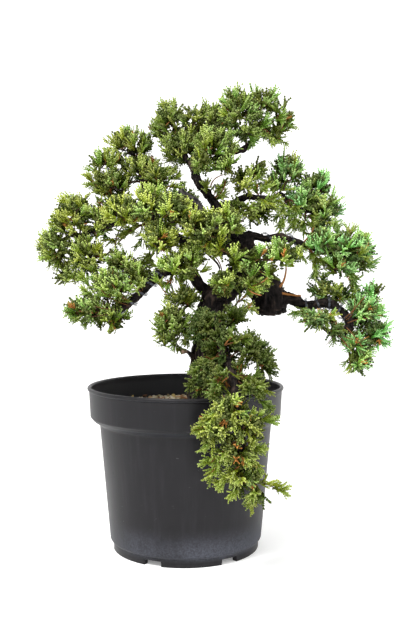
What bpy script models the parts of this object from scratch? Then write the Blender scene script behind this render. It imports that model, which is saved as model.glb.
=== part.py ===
"""Juniper bonsai in a black nursery pot.

World frame: metres, +Z up, the pot stands on Z = 0 with its axis on Z, and the
viewer stands on the -Y side with +X to the right.
Every height of the tree is measured from the surface of the soil.
"""

import math

import bmesh
import bpy
from mathutils import Matrix, Vector

# ---------------------------------------------------------------- driving sizes

GAP = 0.0003                # clearance between pieces that touch

# pot
RIM_RADIUS = 0.130          # outside of the rolled lip
POT_HEIGHT = 0.215
WALL = 0.0022
LIP_RADIUS = 0.0026         # section radius of the rolled lip
COLLAR_HEIGHT = 0.041       # from the lip's top to the shoulder
COLLAR_INSET = 0.0022       # lip's outside to the collar's outside
COLLAR_DRAFT = 0.0015       # how much the collar narrows downwards
SHOULDER_STEP = 0.0125      # collar to body, inwards
SHOULDER_DROP = 0.0095      # height of that step
BODY_DRAFT = 0.0130         # how much the body narrows from shoulder to base
BASE_ROUND = 0.0055         # height of the rounding above the foot ring
FOOT_INSET = 0.0040         # body to foot ring, inwards
FOOT_HEIGHT = 0.0100
FOOT_WIDTH = 0.0075
FLOOR_THICKNESS = 0.0026
FLOOR_RECESS = 0.0020       # underside of the floor, below the top of the foot ring
FOOT_COUNT = 6
NOTCH_HEIGHT = 0.0070
NOTCH_ANGLE = 14.0          # degrees taken out of the foot ring between two feet
NOTCH_START = 36.0          # degrees from the front to the first notch
CENTRE_PAD_RADIUS = 0.022   # round seat under the middle of the floor
DRAIN_RADIUS = 0.005
DRAIN_RING = 0.072          # distance of the drain holes from the axis
DRAIN_SIDES = 12
LIP_SEAT = 0.2              # collar starts this many lip radii under the lip
SHOULDER_CURVE = [(0.0, -0.25), (0.10, 0.0), (0.33, 0.33)]  # shares of step and drop
TURN_STEPS = 36

# soil and its top dressing
SOIL_DEPTH_BELOW_RIM = 0.034
SOIL_MOUND = 0.003          # how much higher the soil is in the middle
MOUND_AT_HALF = 0.7         # share of the mound that is left half way out
GRIT_THICKNESS = 0.004

# tree
TRUNK_RADIUS = 0.019        # trunk at half height
ROOT_DEPTH = 0.030          # buried length of the trunk
TRUNK_RING_SPACING = 0.85   # rings along the trunk and the stump, in trunk radii
BRANCH_GIRTH = 1.0          # scale of every branch's own radius
WIRE_RADIUS = 0.0016
WIRE_RIDE = 1.02            # share of the branch's radius that the wire is wound on
WIRE_POINTS = 9             # points in each turn of a wire
CASCADE_REACH = 0.022       # falling branch, in front of the pot's lip
ROUTE_STEP = 0.010          # spacing of the rings along a branch
FOLIAGE_GAP = 0.0012        # foliage stands off the bark and the wires
FOLIAGE_CUT_STEP = 0.018    # spacing of the rings of the channel for a branch
LOBE_TURN = 40.0            # radians its facets are turned per metre of its x and height

# ---------------------------------------------------------------- derived sizes

COLLAR_TOP_RADIUS = RIM_RADIUS - COLLAR_INSET
COLLAR_BOTTOM_RADIUS = COLLAR_TOP_RADIUS - COLLAR_DRAFT
COLLAR_BOTTOM_Z = POT_HEIGHT - COLLAR_HEIGHT
BODY_TOP_RADIUS = COLLAR_BOTTOM_RADIUS - SHOULDER_STEP
BODY_TOP_Z = COLLAR_BOTTOM_Z - SHOULDER_DROP
BODY_BOTTOM_RADIUS = BODY_TOP_RADIUS - BODY_DRAFT
BODY_BOTTOM_Z = FOOT_HEIGHT + BASE_ROUND
FOOT_RADIUS = BODY_BOTTOM_RADIUS - FOOT_INSET
FLOOR_BOTTOM_Z = FOOT_HEIGHT - FLOOR_RECESS
FLOOR_TOP_Z = FLOOR_BOTTOM_Z + FLOOR_THICKNESS
SOIL_Z = POT_HEIGHT - SOIL_DEPTH_BELOW_RIM
GRIT_TOP_Z = SOIL_Z + GAP + GRIT_THICKNESS
FRONT_Y = -(RIM_RADIUS + CASCADE_REACH)

# ---------------------------------------------------------------- routes of the wood
# Points are (x, y, height above the soil, radius).  Trunk radii are shares of
# TRUNK_RADIUS, and branch radii are metres.

TRUNK_ROUTE = [
    (0.025, 0.006, -ROOT_DEPTH, 1.30),
    (0.026, 0.005, 0.015, 1.22),
    (0.027, 0.002, 0.066, 1.06),
    (0.029, 0.000, 0.100, 1.00),
    (0.031, -0.002, 0.124, 1.00),
    (0.038, -0.002, 0.146, 1.00),
    (0.057, 0.000, 0.165, 0.94),
    (0.079, 0.003, 0.183, 0.87),
    (0.086, 0.005, 0.202, 0.80),
    (0.079, 0.005, 0.218, 0.72),
    (0.067, 0.005, 0.231, 0.59),
    (0.055, 0.004, 0.247, 0.46),
    (0.046, 0.002, 0.262, 0.39),
    (0.033, 0.000, 0.281, 0.34),
    (0.021, 0.000, 0.297, 0.32),
    (0.012, 0.000, 0.314, 0.31),
    (0.007, 0.000, 0.331, 0.26),
]
STUMP_ROUTE = [
    (0.086, 0.005, 0.196, 0.78),
    (0.094, 0.006, 0.179, 0.95),
    (0.104, 0.008, 0.163, 1.16),
    (0.111, 0.008, 0.149, 1.26),
    (0.114, 0.008, 0.140, 1.22),
    (0.114, 0.008, 0.129, 1.05),
]
PRUNED_STUB_ROUTE = [
    (0.022, 0.000, 0.064, 0.0036),
    (0.007, -0.012, 0.076, 0.0030),
    (-0.011, -0.020, 0.085, 0.0023),
]
CUT_TWIG_ROUTE = [
    (0.122, 0.005, 0.157, 0.0032),
    (0.136, 0.003, 0.155, 0.0026),
    (0.152, 0.000, 0.151, 0.0018),
]

BRANCH_ROUTES = {
    "branch_right_low": [
        (0.117, 0.005, 0.149, 0.0090), (0.133, 0.002, 0.149, 0.0078),
        (0.149, -0.002, 0.143, 0.0072), (0.164, -0.006, 0.139, 0.0070),
        (0.184, -0.012, 0.143, 0.0067), (0.201, -0.020, 0.135, 0.0066),
        (0.211, -0.028, 0.123, 0.0064), (0.212, -0.036, 0.112, 0.0058),
        (0.202, -0.042, 0.106, 0.0048), (0.186, -0.046, 0.108, 0.0040),
        (0.172, -0.044, 0.116, 0.0028)],
    "branch_right_mid": [
        (0.072, 0.005, 0.226, 0.0080), (0.085, 0.004, 0.233, 0.0060),
        (0.104, 0.004, 0.228, 0.0055), (0.128, 0.004, 0.229, 0.0054),
        (0.153, 0.002, 0.221, 0.0050), (0.172, -0.002, 0.214, 0.0046),
        (0.196, -0.008, 0.208, 0.0038), (0.216, -0.012, 0.202, 0.0028)],
    "branch_right_high": [
        (0.047, 0.001, 0.267, 0.0060), (0.057, -0.003, 0.272, 0.0052),
        (0.071, -0.006, 0.278, 0.0050), (0.083, -0.006, 0.283, 0.0048),
        (0.101, -0.002, 0.280, 0.0045), (0.115, 0.004, 0.281, 0.0042),
        (0.127, 0.012, 0.288, 0.0038), (0.138, 0.018, 0.274, 0.0036),
        (0.154, 0.022, 0.267, 0.0034), (0.176, 0.022, 0.265, 0.0026)],
    "branch_crown_right": [
        (0.010, 0.001, 0.320, 0.0042), (0.026, 0.006, 0.328, 0.0048),
        (0.043, 0.008, 0.336, 0.0046), (0.059, 0.008, 0.341, 0.0045),
        (0.076, 0.008, 0.345, 0.0040), (0.088, 0.008, 0.355, 0.0034),
        (0.102, 0.006, 0.371, 0.0026)],
    "branch_crown_left": [
        (0.007, 0.000, 0.325, 0.0048), (-0.002, 0.006, 0.338, 0.0044),
        (-0.010, 0.012, 0.355, 0.0038), (-0.015, 0.018, 0.373, 0.0028)],
    "branch_left_mid": [
        (0.072, 0.007, 0.214, 0.0090), (0.041, 0.025, 0.216, 0.0080),
        (0.008, 0.032, 0.222, 0.0070), (-0.011, 0.032, 0.229, 0.0066),
        (-0.024, 0.030, 0.238, 0.0065), (-0.040, 0.026, 0.251, 0.0060),
        (-0.061, 0.020, 0.256, 0.0050), (-0.085, 0.016, 0.251, 0.0045),
        (-0.114, 0.014, 0.243, 0.0038), (-0.141, 0.010, 0.232, 0.0028)],
    "branch_left_high": [
        (-0.045, 0.025, 0.252, 0.0056), (-0.053, 0.022, 0.277, 0.0058),
        (-0.056, 0.022, 0.305, 0.0056), (-0.063, 0.024, 0.330, 0.0046),
        (-0.076, 0.024, 0.348, 0.0032)],
    "snag_left": [
        (0.064, 0.012, 0.222, 0.0080), (0.046, 0.018, 0.235, 0.0074),
        (0.030, 0.014, 0.249, 0.0070), (0.021, 0.009, 0.265, 0.0066),
        (0.012, 0.006, 0.275, 0.0068), (0.000, 0.005, 0.282, 0.0064),
        (-0.008, 0.004, 0.292, 0.0048)],
    "branch_left_low": [
        (0.038, 0.000, 0.147, 0.0090), (0.026, -0.003, 0.160, 0.0082),
        (0.011, -0.005, 0.176, 0.0080), (-0.004, -0.006, 0.187, 0.0075),
        (-0.026, -0.006, 0.185, 0.0068), (-0.043, -0.008, 0.172, 0.0064),
        (-0.061, -0.012, 0.155, 0.0062), (-0.080, -0.016, 0.138, 0.0060),
        (-0.095, -0.020, 0.133, 0.0052), (-0.111, -0.024, 0.132, 0.0036)],
    "twig_left": [
        (0.026, 0.000, 0.106, 0.0050), (0.012, -0.010, 0.120, 0.0036),
        (-0.003, -0.018, 0.128, 0.0030), (-0.018, -0.022, 0.132, 0.0024)],
    "branch_back": [
        (0.086, 0.006, 0.192, 0.0080), (0.070, 0.035, 0.203, 0.0065),
        (0.051, 0.059, 0.216, 0.0055), (0.041, 0.080, 0.232, 0.0040)],
    "branch_back_left": [
        (0.048, 0.063, 0.220, 0.0044), (0.026, 0.074, 0.240, 0.0040),
        (0.002, 0.080, 0.257, 0.0034), (-0.021, 0.080, 0.266, 0.0026)],
    "branch_back_low": [
        (0.088, 0.008, 0.188, 0.0060), (0.090, 0.040, 0.186, 0.0050),
        (0.089, 0.066, 0.179, 0.0036)],
}
CASCADE_ROUTE = [
    (0.036, -0.006, 0.130, 0.0090),
    (0.041, -0.040, 0.110, 0.0080),
    (0.048, -0.072, 0.088, 0.0070),
    (0.057, -0.106, 0.064, 0.0060),
    (0.063, FRONT_Y + 0.018, 0.043, 0.0055),
    (0.065, FRONT_Y + 0.002, 0.020, 0.0050),
    (0.066, FRONT_Y, -0.006, 0.0045),
    (0.070, FRONT_Y, -0.034, 0.0040),
    (0.078, FRONT_Y, -0.060, 0.0030),
]

# Training wires wind around a branch: first and last share of its route, pitch.
WIRES = {
    "wire_right_low": ("branch_right_low", 0.24, 0.70, 0.0160),
    "wire_left_low": ("branch_left_low", 0.42, 0.88, 0.0180),
    "wire_right_mid": ("branch_right_mid", 0.20, 0.66, 0.0320),
}

# ---------------------------------------------------------------- foliage
# Each pad is a few lobes: (x, y, height above the soil, radii in x, y, z).

FOLIAGE_PADS = {
    "foliage_crown_right": [
        (0.072, -0.006, 0.391, 0.026, 0.036, 0.028),
        (0.102, 0.008, 0.400, 0.029, 0.038, 0.023),
        (0.123, 0.004, 0.390, 0.018, 0.030, 0.021),
        (0.086, -0.008, 0.370, 0.025, 0.032, 0.017),
        (0.118, 0.010, 0.370, 0.020, 0.028, 0.014)],
    "foliage_crown_left": [
        (-0.021, 0.024, 0.381, 0.024, 0.036, 0.027),
        (0.009, 0.028, 0.386, 0.027, 0.038, 0.022),
        (-0.005, 0.020, 0.352, 0.028, 0.034, 0.027),
        (0.035, 0.022, 0.384, 0.020, 0.034, 0.022)],
    "foliage_crown_centre": [
        (0.038, -0.028, 0.343, 0.026, 0.030, 0.025),
        (0.024, -0.022, 0.327, 0.016, 0.024, 0.016),
        (0.052, -0.026, 0.324, 0.016, 0.024, 0.015)],
    "foliage_shoulder_left": [
        (-0.075, 0.026, 0.352, 0.030, 0.036, 0.023),
        (-0.104, 0.022, 0.329, 0.025, 0.030, 0.020),
        (-0.064, 0.030, 0.323, 0.026, 0.034, 0.021),
        (-0.098, 0.020, 0.300, 0.026, 0.030, 0.020),
        (-0.042, 0.018, 0.307, 0.016, 0.026, 0.019)],
    "foliage_left_far": [
        (-0.149, 0.014, 0.250, 0.031, 0.038, 0.035),
        (-0.170, 0.008, 0.216, 0.025, 0.032, 0.026),
        (-0.135, 0.006, 0.203, 0.026, 0.032, 0.026),
        (-0.117, 0.016, 0.248, 0.019, 0.032, 0.025),
        (-0.154, 0.004, 0.180, 0.018, 0.022, 0.013)],
    "foliage_left_mid": [
        (-0.082, -0.016, 0.262, 0.024, 0.030, 0.020),
        (-0.046, -0.026, 0.269, 0.026, 0.032, 0.022),
        (-0.016, -0.032, 0.261, 0.023, 0.030, 0.022),
        (-0.032, -0.030, 0.229, 0.021, 0.028, 0.024)],
    "foliage_left_low": [
        (-0.095, -0.022, 0.163, 0.027, 0.032, 0.025),
        (-0.128, -0.026, 0.134, 0.026, 0.028, 0.018),
        (-0.101, -0.016, 0.124, 0.026, 0.028, 0.016),
        (-0.066, -0.006, 0.175, 0.021, 0.028, 0.020),
        (-0.082, -0.008, 0.197, 0.018, 0.022, 0.013)],
    "foliage_left_inner": [
        (-0.009, -0.030, 0.189, 0.022, 0.026, 0.018),
        (0.010, -0.028, 0.198, 0.014, 0.024, 0.017)],
    "foliage_left_small": [
        (-0.002, -0.020, 0.148, 0.018, 0.020, 0.014),
        (-0.017, -0.025, 0.119, 0.023, 0.024, 0.022),
        (-0.025, -0.026, 0.098, 0.013, 0.018, 0.011)],
    "foliage_centre": [
        (0.032, -0.046, 0.235, 0.024, 0.032, 0.025),
        (0.055, -0.040, 0.241, 0.017, 0.028, 0.023),
        (0.048, -0.044, 0.217, 0.019, 0.026, 0.017),
        (0.011, -0.040, 0.240, 0.016, 0.028, 0.023)],
    "foliage_centre_right": [
        (0.061, -0.048, 0.198, 0.022, 0.030, 0.018),
        (0.087, -0.050, 0.198, 0.022, 0.030, 0.018),
        (0.106, -0.048, 0.182, 0.016, 0.024, 0.015),
        (0.050, -0.045, 0.169, 0.018, 0.026, 0.015),
        (0.083, -0.049, 0.170, 0.018, 0.024, 0.015),
        (0.122, -0.042, 0.204, 0.022, 0.026, 0.014)],
    "foliage_high_small": [
        (0.076, -0.010, 0.301, 0.016, 0.022, 0.016),
        (0.093, -0.002, 0.315, 0.013, 0.022, 0.018)],
    "foliage_right_spray": [
        (0.135, 0.022, 0.317, 0.018, 0.026, 0.023),
        (0.121, 0.016, 0.300, 0.015, 0.022, 0.013)],
    "foliage_under_right": [
        (0.078, -0.020, 0.261, 0.024, 0.022, 0.012),
        (0.100, -0.014, 0.266, 0.016, 0.020, 0.013)],
    "foliage_right_high": [
        (0.161, 0.024, 0.279, 0.022, 0.032, 0.022),
        (0.183, 0.022, 0.263, 0.022, 0.034, 0.025),
        (0.172, 0.028, 0.299, 0.020, 0.028, 0.018)],
    "foliage_right_mid": [
        (0.182, -0.008, 0.224, 0.026, 0.032, 0.015),
        (0.214, -0.014, 0.212, 0.029, 0.036, 0.021),
        (0.202, -0.018, 0.191, 0.020, 0.026, 0.016),
        (0.235, -0.014, 0.197, 0.014, 0.022, 0.012)],
    "foliage_right_outer": [
        (0.230, -0.034, 0.131, 0.022, 0.032, 0.024),
        (0.247, -0.036, 0.104, 0.018, 0.026, 0.017),
        (0.220, -0.040, 0.090, 0.017, 0.026, 0.019),
        (0.224, -0.040, 0.069, 0.013, 0.020, 0.014),
        (0.241, -0.030, 0.151, 0.014, 0.022, 0.017)],
    "foliage_right_lower": [
        (0.170, -0.044, 0.124, 0.023, 0.026, 0.014),
        (0.189, -0.048, 0.108, 0.015, 0.022, 0.013)],
    "foliage_right_above": [
        (0.184, 0.004, 0.160, 0.015, 0.020, 0.015),
        (0.200, -0.002, 0.152, 0.012, 0.018, 0.012)],
    "foliage_back_left": [
        (-0.035, 0.078, 0.268, 0.028, 0.034, 0.023),
        (-0.010, 0.084, 0.276, 0.026, 0.030, 0.020)],
    "foliage_back_centre": [
        (0.038, 0.078, 0.242, 0.028, 0.034, 0.024),
        (0.058, 0.086, 0.254, 0.020, 0.030, 0.022)],
    "foliage_back_low": [
        (0.086, 0.072, 0.184, 0.028, 0.032, 0.022),
        (0.110, 0.066, 0.163, 0.021, 0.026, 0.020)],
    "foliage_cascade_upper": [
        (0.026, -0.055, 0.111, 0.019, 0.028, 0.025),
        (0.049, -0.072, 0.087, 0.027, 0.032, 0.027),
        (0.079, -0.078, 0.085, 0.025, 0.030, 0.021),
        (0.096, -0.082, 0.074, 0.016, 0.026, 0.018),
        (0.040, -0.094, 0.056, 0.022, 0.028, 0.018),
        (0.071, -0.098, 0.055, 0.025, 0.026, 0.018),
        (0.063, -0.052, 0.122, 0.018, 0.022, 0.015)],
}
# Lobes of the foliage that falls in front of the pot: (x, height, radii).
CASCADE_LOBES = [
    (0.053, 0.023, 0.022, 0.020, 0.016),
    (0.042, 0.000, 0.021, 0.019, 0.015),
    (0.071, 0.002, 0.022, 0.019, 0.018),
    (0.064, -0.026, 0.020, 0.019, 0.017),
    (0.071, -0.056, 0.020, 0.018, 0.017),
    (0.088, -0.073, 0.015, 0.016, 0.012),
]
CASCADE_PAD = "foliage_cascade_front"

# ---------------------------------------------------------------- colours

POT_BLACK = (0.045, 0.045, 0.052)
SOIL_BROWN = (0.085, 0.050, 0.028)
GRIT_BEIGE = (0.520, 0.450, 0.340)
BARK_DARK = (0.052, 0.040, 0.033)
DEAD_GREY = (0.120, 0.110, 0.105)
WIRE_BLACK = (0.030, 0.032, 0.038)
LEAF_GREEN = (0.110, 0.200, 0.040)
LEAF_BLUE = (0.070, 0.190, 0.070)


# ---------------------------------------------------------------- helpers

def clear_scene():
    for item in list(bpy.data.objects):
        bpy.data.objects.remove(item, do_unlink=True)


def make_collection(name):
    collection = bpy.data.collections.new(name)
    bpy.context.scene.collection.children.link(collection)
    return collection


def make_material(name, colour, roughness, metallic=0.0):
    material = bpy.data.materials.new(name)
    material.use_nodes = True
    shader = material.node_tree.nodes["Principled BSDF"]
    shader.inputs["Base Color"].default_value = (*colour, 1.0)
    shader.inputs["Roughness"].default_value = roughness
    shader.inputs["Metallic"].default_value = metallic
    return material


def add_object(name, data, collection):
    item = bpy.data.objects.new(name, data)
    collection.objects.link(item)
    return item


def as_cutter(item):
    item.hide_render = True
    item.display_type = "WIRE"
    return item


def paint(item, material):
    item.data.materials.clear()
    item.data.materials.append(material)
    return item


def evaluated_mesh(item):
    """A new mesh with the object's modifiers applied."""
    bpy.context.view_layer.update()
    depsgraph = bpy.context.evaluated_depsgraph_get()
    return bpy.data.meshes.new_from_object(item.evaluated_get(depsgraph))


def boolean(item, operation, other):
    """Apply one exact Boolean to the object's mesh."""
    modifier = item.modifiers.new(operation.lower(), "BOOLEAN")
    modifier.operation = operation
    modifier.solver = "EXACT"
    modifier.object = other
    mesh = evaluated_mesh(item)
    item.modifiers.clear()
    item.data = mesh


def box_of(item):
    corners = [vertex.co for vertex in item.data.vertices]
    low = [min(corner[axis] for corner in corners) for axis in range(3)]
    high = [max(corner[axis] for corner in corners) for axis in range(3)]
    return low, high


def boxes_meet(first, second):
    low_a, high_a = box_of(first)
    low_b, high_b = box_of(second)
    return all(low_a[axis] < high_b[axis] and low_b[axis] < high_a[axis] for axis in range(3))


def subtract_where_met(item, cutters):
    for cutter in cutters:
        if boxes_meet(item, cutter):
            boolean(item, "DIFFERENCE", cutter)


def arc(centre_r, centre_z, radius, start, end, steps):
    """Points of a circular arc in the profile's plane, angles in degrees."""
    points = []
    for index in range(steps + 1):
        angle = math.radians(start + (end - start) * index / steps)
        points.append((centre_r + radius * math.cos(angle), centre_z + radius * math.sin(angle)))
    return points


def turned(name, profile, collection):
    """A solid of revolution about Z from (radius, height) points."""
    mesh = bpy.data.meshes.new(name)
    edges = [(index, index + 1) for index in range(len(profile) - 1)]
    mesh.from_pydata([(radius, 0.0, height) for radius, height in profile], edges, [])
    item = add_object(name, mesh, collection)
    screw = item.modifiers.new("turn", "SCREW")
    screw.axis = "Z"
    screw.steps = TURN_STEPS
    screw.render_steps = TURN_STEPS
    screw.use_merge_vertices = True
    screw.merge_threshold = 0.00001
    item.data = evaluated_mesh(item)
    item.modifiers.clear()
    return item


def catmull_rom(points, step):
    """A smooth list of points, about `step` apart, through all the given ones."""
    rows = [Vector(point) for point in points]
    rows = [2 * rows[0] - rows[1]] + rows + [2 * rows[-1] - rows[-2]]
    route = []
    for index in range(1, len(rows) - 2):
        before, start, end, after = rows[index - 1:index + 3]
        count = max(1, round((end - start).length / step))
        for part in range(count):
            t = part / count
            route.append(0.5 * (2 * start + (end - before) * t
                                + (2 * before - 5 * start + 4 * end - after) * t ** 2
                                + (3 * start - before - 3 * end + after) * t ** 3))
    route.append(rows[-2])
    return route


def place_route(points, scale=1.0):
    """Lift a route from the soil's surface to world height, and scale its radii."""
    return [(x, y, SOIL_Z + height, radius * scale) for x, y, height, radius in points]


def tube(name, route, sides_level, collection, grow=0.0):
    """A closed round tube with its own radius at each point of the route."""
    curve = bpy.data.curves.new(name, "CURVE")
    curve.dimensions = "3D"
    curve.bevel_depth = 1.0
    curve.bevel_resolution = sides_level
    curve.use_fill_caps = True
    points = [Vector(point) for point in route]
    if grow:
        points[0] = points[0] + (points[0] - points[1]).normalized() * grow
        points[-1] = points[-1] + (points[-1] - points[-2]).normalized() * grow
    spline = curve.splines.new("POLY")
    spline.points.add(len(points) - 1)
    for target, point, original in zip(spline.points, points, route):
        target.co = (point[0], point[1], point[2], 1.0)
        target.radius = original[3] + grow
    source = add_object(name + "_curve", curve, collection)
    mesh = evaluated_mesh(source)
    matrix = source.matrix_world.copy()
    bpy.data.objects.remove(source, do_unlink=True)
    welded = bmesh.new()
    welded.from_mesh(mesh)
    bmesh.ops.remove_doubles(welded, verts=welded.verts, dist=0.000001)
    bmesh.ops.recalc_face_normals(welded, faces=welded.faces)
    welded.to_mesh(mesh)
    welded.free()
    item = add_object(name, mesh, collection)
    item.matrix_world = matrix
    return item


def clearance_tube(name, route, sides_level):
    """The same tube made larger by the gap, kept as a cutter."""
    return as_cutter(tube(name + "_clearance", route, sides_level, CUTTERS, grow=GAP))


def winding(route, start, end, pitch, wire_radius):
    """A helix that rides on the outside of a route between two shares of it."""
    points = [Vector(point[:3]) for point in route]
    radii = [point[3] for point in route]
    lengths = [0.0]
    for first, second in zip(points, points[1:]):
        lengths.append(lengths[-1] + (second - first).length)
    total = lengths[-1]
    normal = (points[1] - points[0]).normalized().orthogonal().normalized()
    frames = []
    for index, point in enumerate(points):
        ahead = points[min(index + 1, len(points) - 1)]
        behind = points[max(index - 1, 0)]
        tangent = (ahead - behind).normalized()
        normal = (normal - tangent * normal.dot(tangent)).normalized()
        frames.append((tangent, normal.copy()))
    turns = (end - start) * total / pitch
    count = max(WIRE_POINTS, round(turns * WIRE_POINTS))
    wound = []
    for index in range(count + 1):
        share = index / count
        place = (start + (end - start) * share) * total
        upper = next(i for i in range(1, len(lengths)) if lengths[i] >= place or i == len(lengths) - 1)
        blend = (place - lengths[upper - 1]) / (lengths[upper] - lengths[upper - 1])
        centre = points[upper - 1].lerp(points[upper], blend)
        radius = radii[upper - 1] + (radii[upper] - radii[upper - 1]) * blend
        tangent = frames[upper - 1][0].lerp(frames[upper][0], blend).normalized()
        across = frames[upper - 1][1].lerp(frames[upper][1], blend)
        across = (across - tangent * across.dot(tangent)).normalized()
        turn = Matrix.Rotation(2 * math.pi * turns * share, 3, tangent)
        ride = WIRE_RIDE * radius + GAP + wire_radius
        spot = centre + (turn @ across) * ride
        wound.append((spot.x, spot.y, spot.z, wire_radius))
    return wound


def lobe_mesh(name, lobe, grow=0.0):
    x, y, z, radius_x, radius_y, radius_z = lobe
    turn = Matrix.Rotation(LOBE_TURN * (x + z - SOIL_Z), 3, "Z")
    mesh = bpy.data.meshes.new(name)
    ball = bmesh.new()
    bmesh.ops.create_icosphere(ball, subdivisions=2, radius=1.0)
    bmesh.ops.rotate(ball, verts=ball.verts, matrix=turn)
    bmesh.ops.scale(ball, verts=ball.verts, vec=(radius_x + grow, radius_y + grow, radius_z + grow))
    bmesh.ops.translate(ball, verts=ball.verts, vec=(x, y, z))
    ball.to_mesh(mesh)
    ball.free()
    return mesh


def lobed_solid(name, lobes, collection, grow=0.0):
    """One closed solid from lobes that run into each other."""
    item = add_object(name, lobe_mesh(name, lobes[0], grow), collection)
    for lobe in lobes[1:]:
        other = add_object("lobe", lobe_mesh("lobe", lobe, grow), CUTTERS)
        boolean(item, "UNION", other)
        bpy.data.objects.remove(other, do_unlink=True)
    return item


# ---------------------------------------------------------------- pot and soil

def inner_wall():
    """The pot's inside from the floor's edge up to the lip, as (radius, height)."""
    corner = BASE_ROUND
    floor_edge = BODY_BOTTOM_RADIUS - WALL - corner
    wall = arc(floor_edge, FLOOR_TOP_Z + corner, corner, -90.0, 0.0, 3)
    wall.append((BODY_TOP_RADIUS - WALL, BODY_TOP_Z + WALL / 2))
    wall.append((COLLAR_BOTTOM_RADIUS - WALL, COLLAR_BOTTOM_Z + WALL))
    wall.append((COLLAR_TOP_RADIUS - WALL, POT_HEIGHT - 2 * LIP_RADIUS))
    return wall


def turned_cutter(name, block, outward):
    """A cutter from a bmesh, turned about the pot's axis."""
    mesh = bpy.data.meshes.new(name)
    bmesh.ops.transform(block, verts=block.verts, matrix=outward)
    block.to_mesh(mesh)
    block.free()
    return as_cutter(add_object(name, mesh, CUTTERS))


def foot_notch(outward):
    width = 2 * FOOT_RADIUS * math.sin(math.radians(NOTCH_ANGLE / 2))
    length = 2 * FOOT_WIDTH + FOOT_INSET
    block = bmesh.new()
    bmesh.ops.create_cube(block, size=1.0)
    bmesh.ops.scale(block, verts=block.verts, vec=(length, width, 2 * NOTCH_HEIGHT))
    bmesh.ops.translate(block, verts=block.verts, vec=(FOOT_RADIUS - FOOT_WIDTH / 2, 0.0, 0.0))
    return turned_cutter("foot_notch", block, outward)


def drain_hole(outward):
    block = bmesh.new()
    bmesh.ops.create_cone(block, cap_ends=True, segments=DRAIN_SIDES, radius1=DRAIN_RADIUS,
                          radius2=DRAIN_RADIUS, depth=4 * FLOOR_THICKNESS)
    bmesh.ops.translate(block, verts=block.verts, vec=(DRAIN_RING, 0.0, FLOOR_TOP_Z))
    return turned_cutter("drain_hole", block, outward)


def build_pot():
    lip = arc(RIM_RADIUS - LIP_RADIUS, POT_HEIGHT - LIP_RADIUS, LIP_RADIUS, 170.0, -60.0, 6)
    outside = [(COLLAR_TOP_RADIUS, POT_HEIGHT - (2 + LIP_SEAT) * LIP_RADIUS)]
    for inwards, down in SHOULDER_CURVE:
        radius = COLLAR_BOTTOM_RADIUS - inwards * SHOULDER_STEP
        outside.append((radius, COLLAR_BOTTOM_Z - down * SHOULDER_DROP))
    outside.append((BODY_TOP_RADIUS, BODY_TOP_Z))
    outside.append((BODY_BOTTOM_RADIUS, BODY_BOTTOM_Z))
    outside.append((BODY_BOTTOM_RADIUS - FOOT_INSET / 4, BODY_BOTTOM_Z - BASE_ROUND / 2))
    outside.append((FOOT_RADIUS, FOOT_HEIGHT))
    outside.append((FOOT_RADIUS, 0.0))
    underside = [
        (FOOT_RADIUS - FOOT_WIDTH, 0.0),
        (FOOT_RADIUS - FOOT_WIDTH, FLOOR_BOTTOM_Z),
        (CENTRE_PAD_RADIUS + FLOOR_BOTTOM_Z / 4, FLOOR_BOTTOM_Z),
        (CENTRE_PAD_RADIUS, 0.0),
        (0.0, 0.0),
    ]
    profile = [(0.0, FLOOR_TOP_Z)] + inner_wall() + lip + outside + underside
    pot = turned("pot", profile, PARTS)
    for index in range(FOOT_COUNT):
        angle = math.radians(NOTCH_START + 360.0 / FOOT_COUNT * index - 90.0)
        outward = Matrix.Rotation(angle, 4, "Z")
        boolean(pot, "DIFFERENCE", foot_notch(outward))
        boolean(pot, "DIFFERENCE", drain_hole(outward))
    return paint(pot, make_material("pot_plastic", POT_BLACK, 0.50))


def inner_radius(height):
    """The pot's inside radius at a height, from the same profile as the pot."""
    wall = inner_wall()
    for (low_r, low_z), (high_r, high_z) in zip(wall, wall[1:]):
        if low_z <= height <= high_z:
            return low_r + (high_r - low_r) * (height - low_z) / (high_z - low_z)
    return wall[-1][0]


def build_soil(trunk_clearance):
    below = [(radius - GAP, height + GAP) for radius, height in inner_wall() if height < SOIL_Z]
    edge = (inner_radius(SOIL_Z) - 2 * GAP, SOIL_Z)
    mound = (edge[0] / 2, SOIL_Z + MOUND_AT_HALF * SOIL_MOUND)
    top = (0.0, SOIL_Z + SOIL_MOUND)
    soil = turned("soil", [top, mound, edge] + below[::-1] + [(0.0, FLOOR_TOP_Z + GAP)], PARTS)
    boolean(soil, "DIFFERENCE", trunk_clearance)
    return paint(soil, make_material("soil_peat", SOIL_BROWN, 0.95))


def build_grit(trunk_clearance):
    edge_radius = inner_radius(SOIL_Z + GAP) - 2 * GAP
    lower = [(0.0, SOIL_MOUND), (edge_radius / 2, MOUND_AT_HALF * SOIL_MOUND), (edge_radius, 0.0)]
    upper = [(radius, GRIT_TOP_Z + rise) for radius, rise in lower]
    under = [(radius, SOIL_Z + GAP + rise) for radius, rise in lower]
    grit = turned("grit_top_dressing", upper + under[::-1], PARTS)
    boolean(grit, "DIFFERENCE", trunk_clearance)
    return paint(grit, make_material("pale_grit", GRIT_BEIGE, 0.90))


# ---------------------------------------------------------------- wood and wire

def trunk_parts(collection, grow=0.0):
    """The trunk, its sawn stump and its two pruned stubs as overlapping tubes."""
    thick = place_route([(*point[:3], point[3] * TRUNK_RADIUS) for point in TRUNK_ROUTE])
    stump = place_route([(*point[:3], point[3] * TRUNK_RADIUS) for point in STUMP_ROUTE])
    pieces = [
        ("trunk", catmull_rom(thick, TRUNK_RING_SPACING * TRUNK_RADIUS), 4),
        ("stump", catmull_rom(stump, TRUNK_RING_SPACING * TRUNK_RADIUS), 4),
        ("pruned_stub", place_route(PRUNED_STUB_ROUTE), 2),
        ("cut_twig", place_route(CUT_TWIG_ROUTE), 2),
    ]
    return [tube(name, route, level, collection, grow) for name, route, level in pieces]


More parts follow.
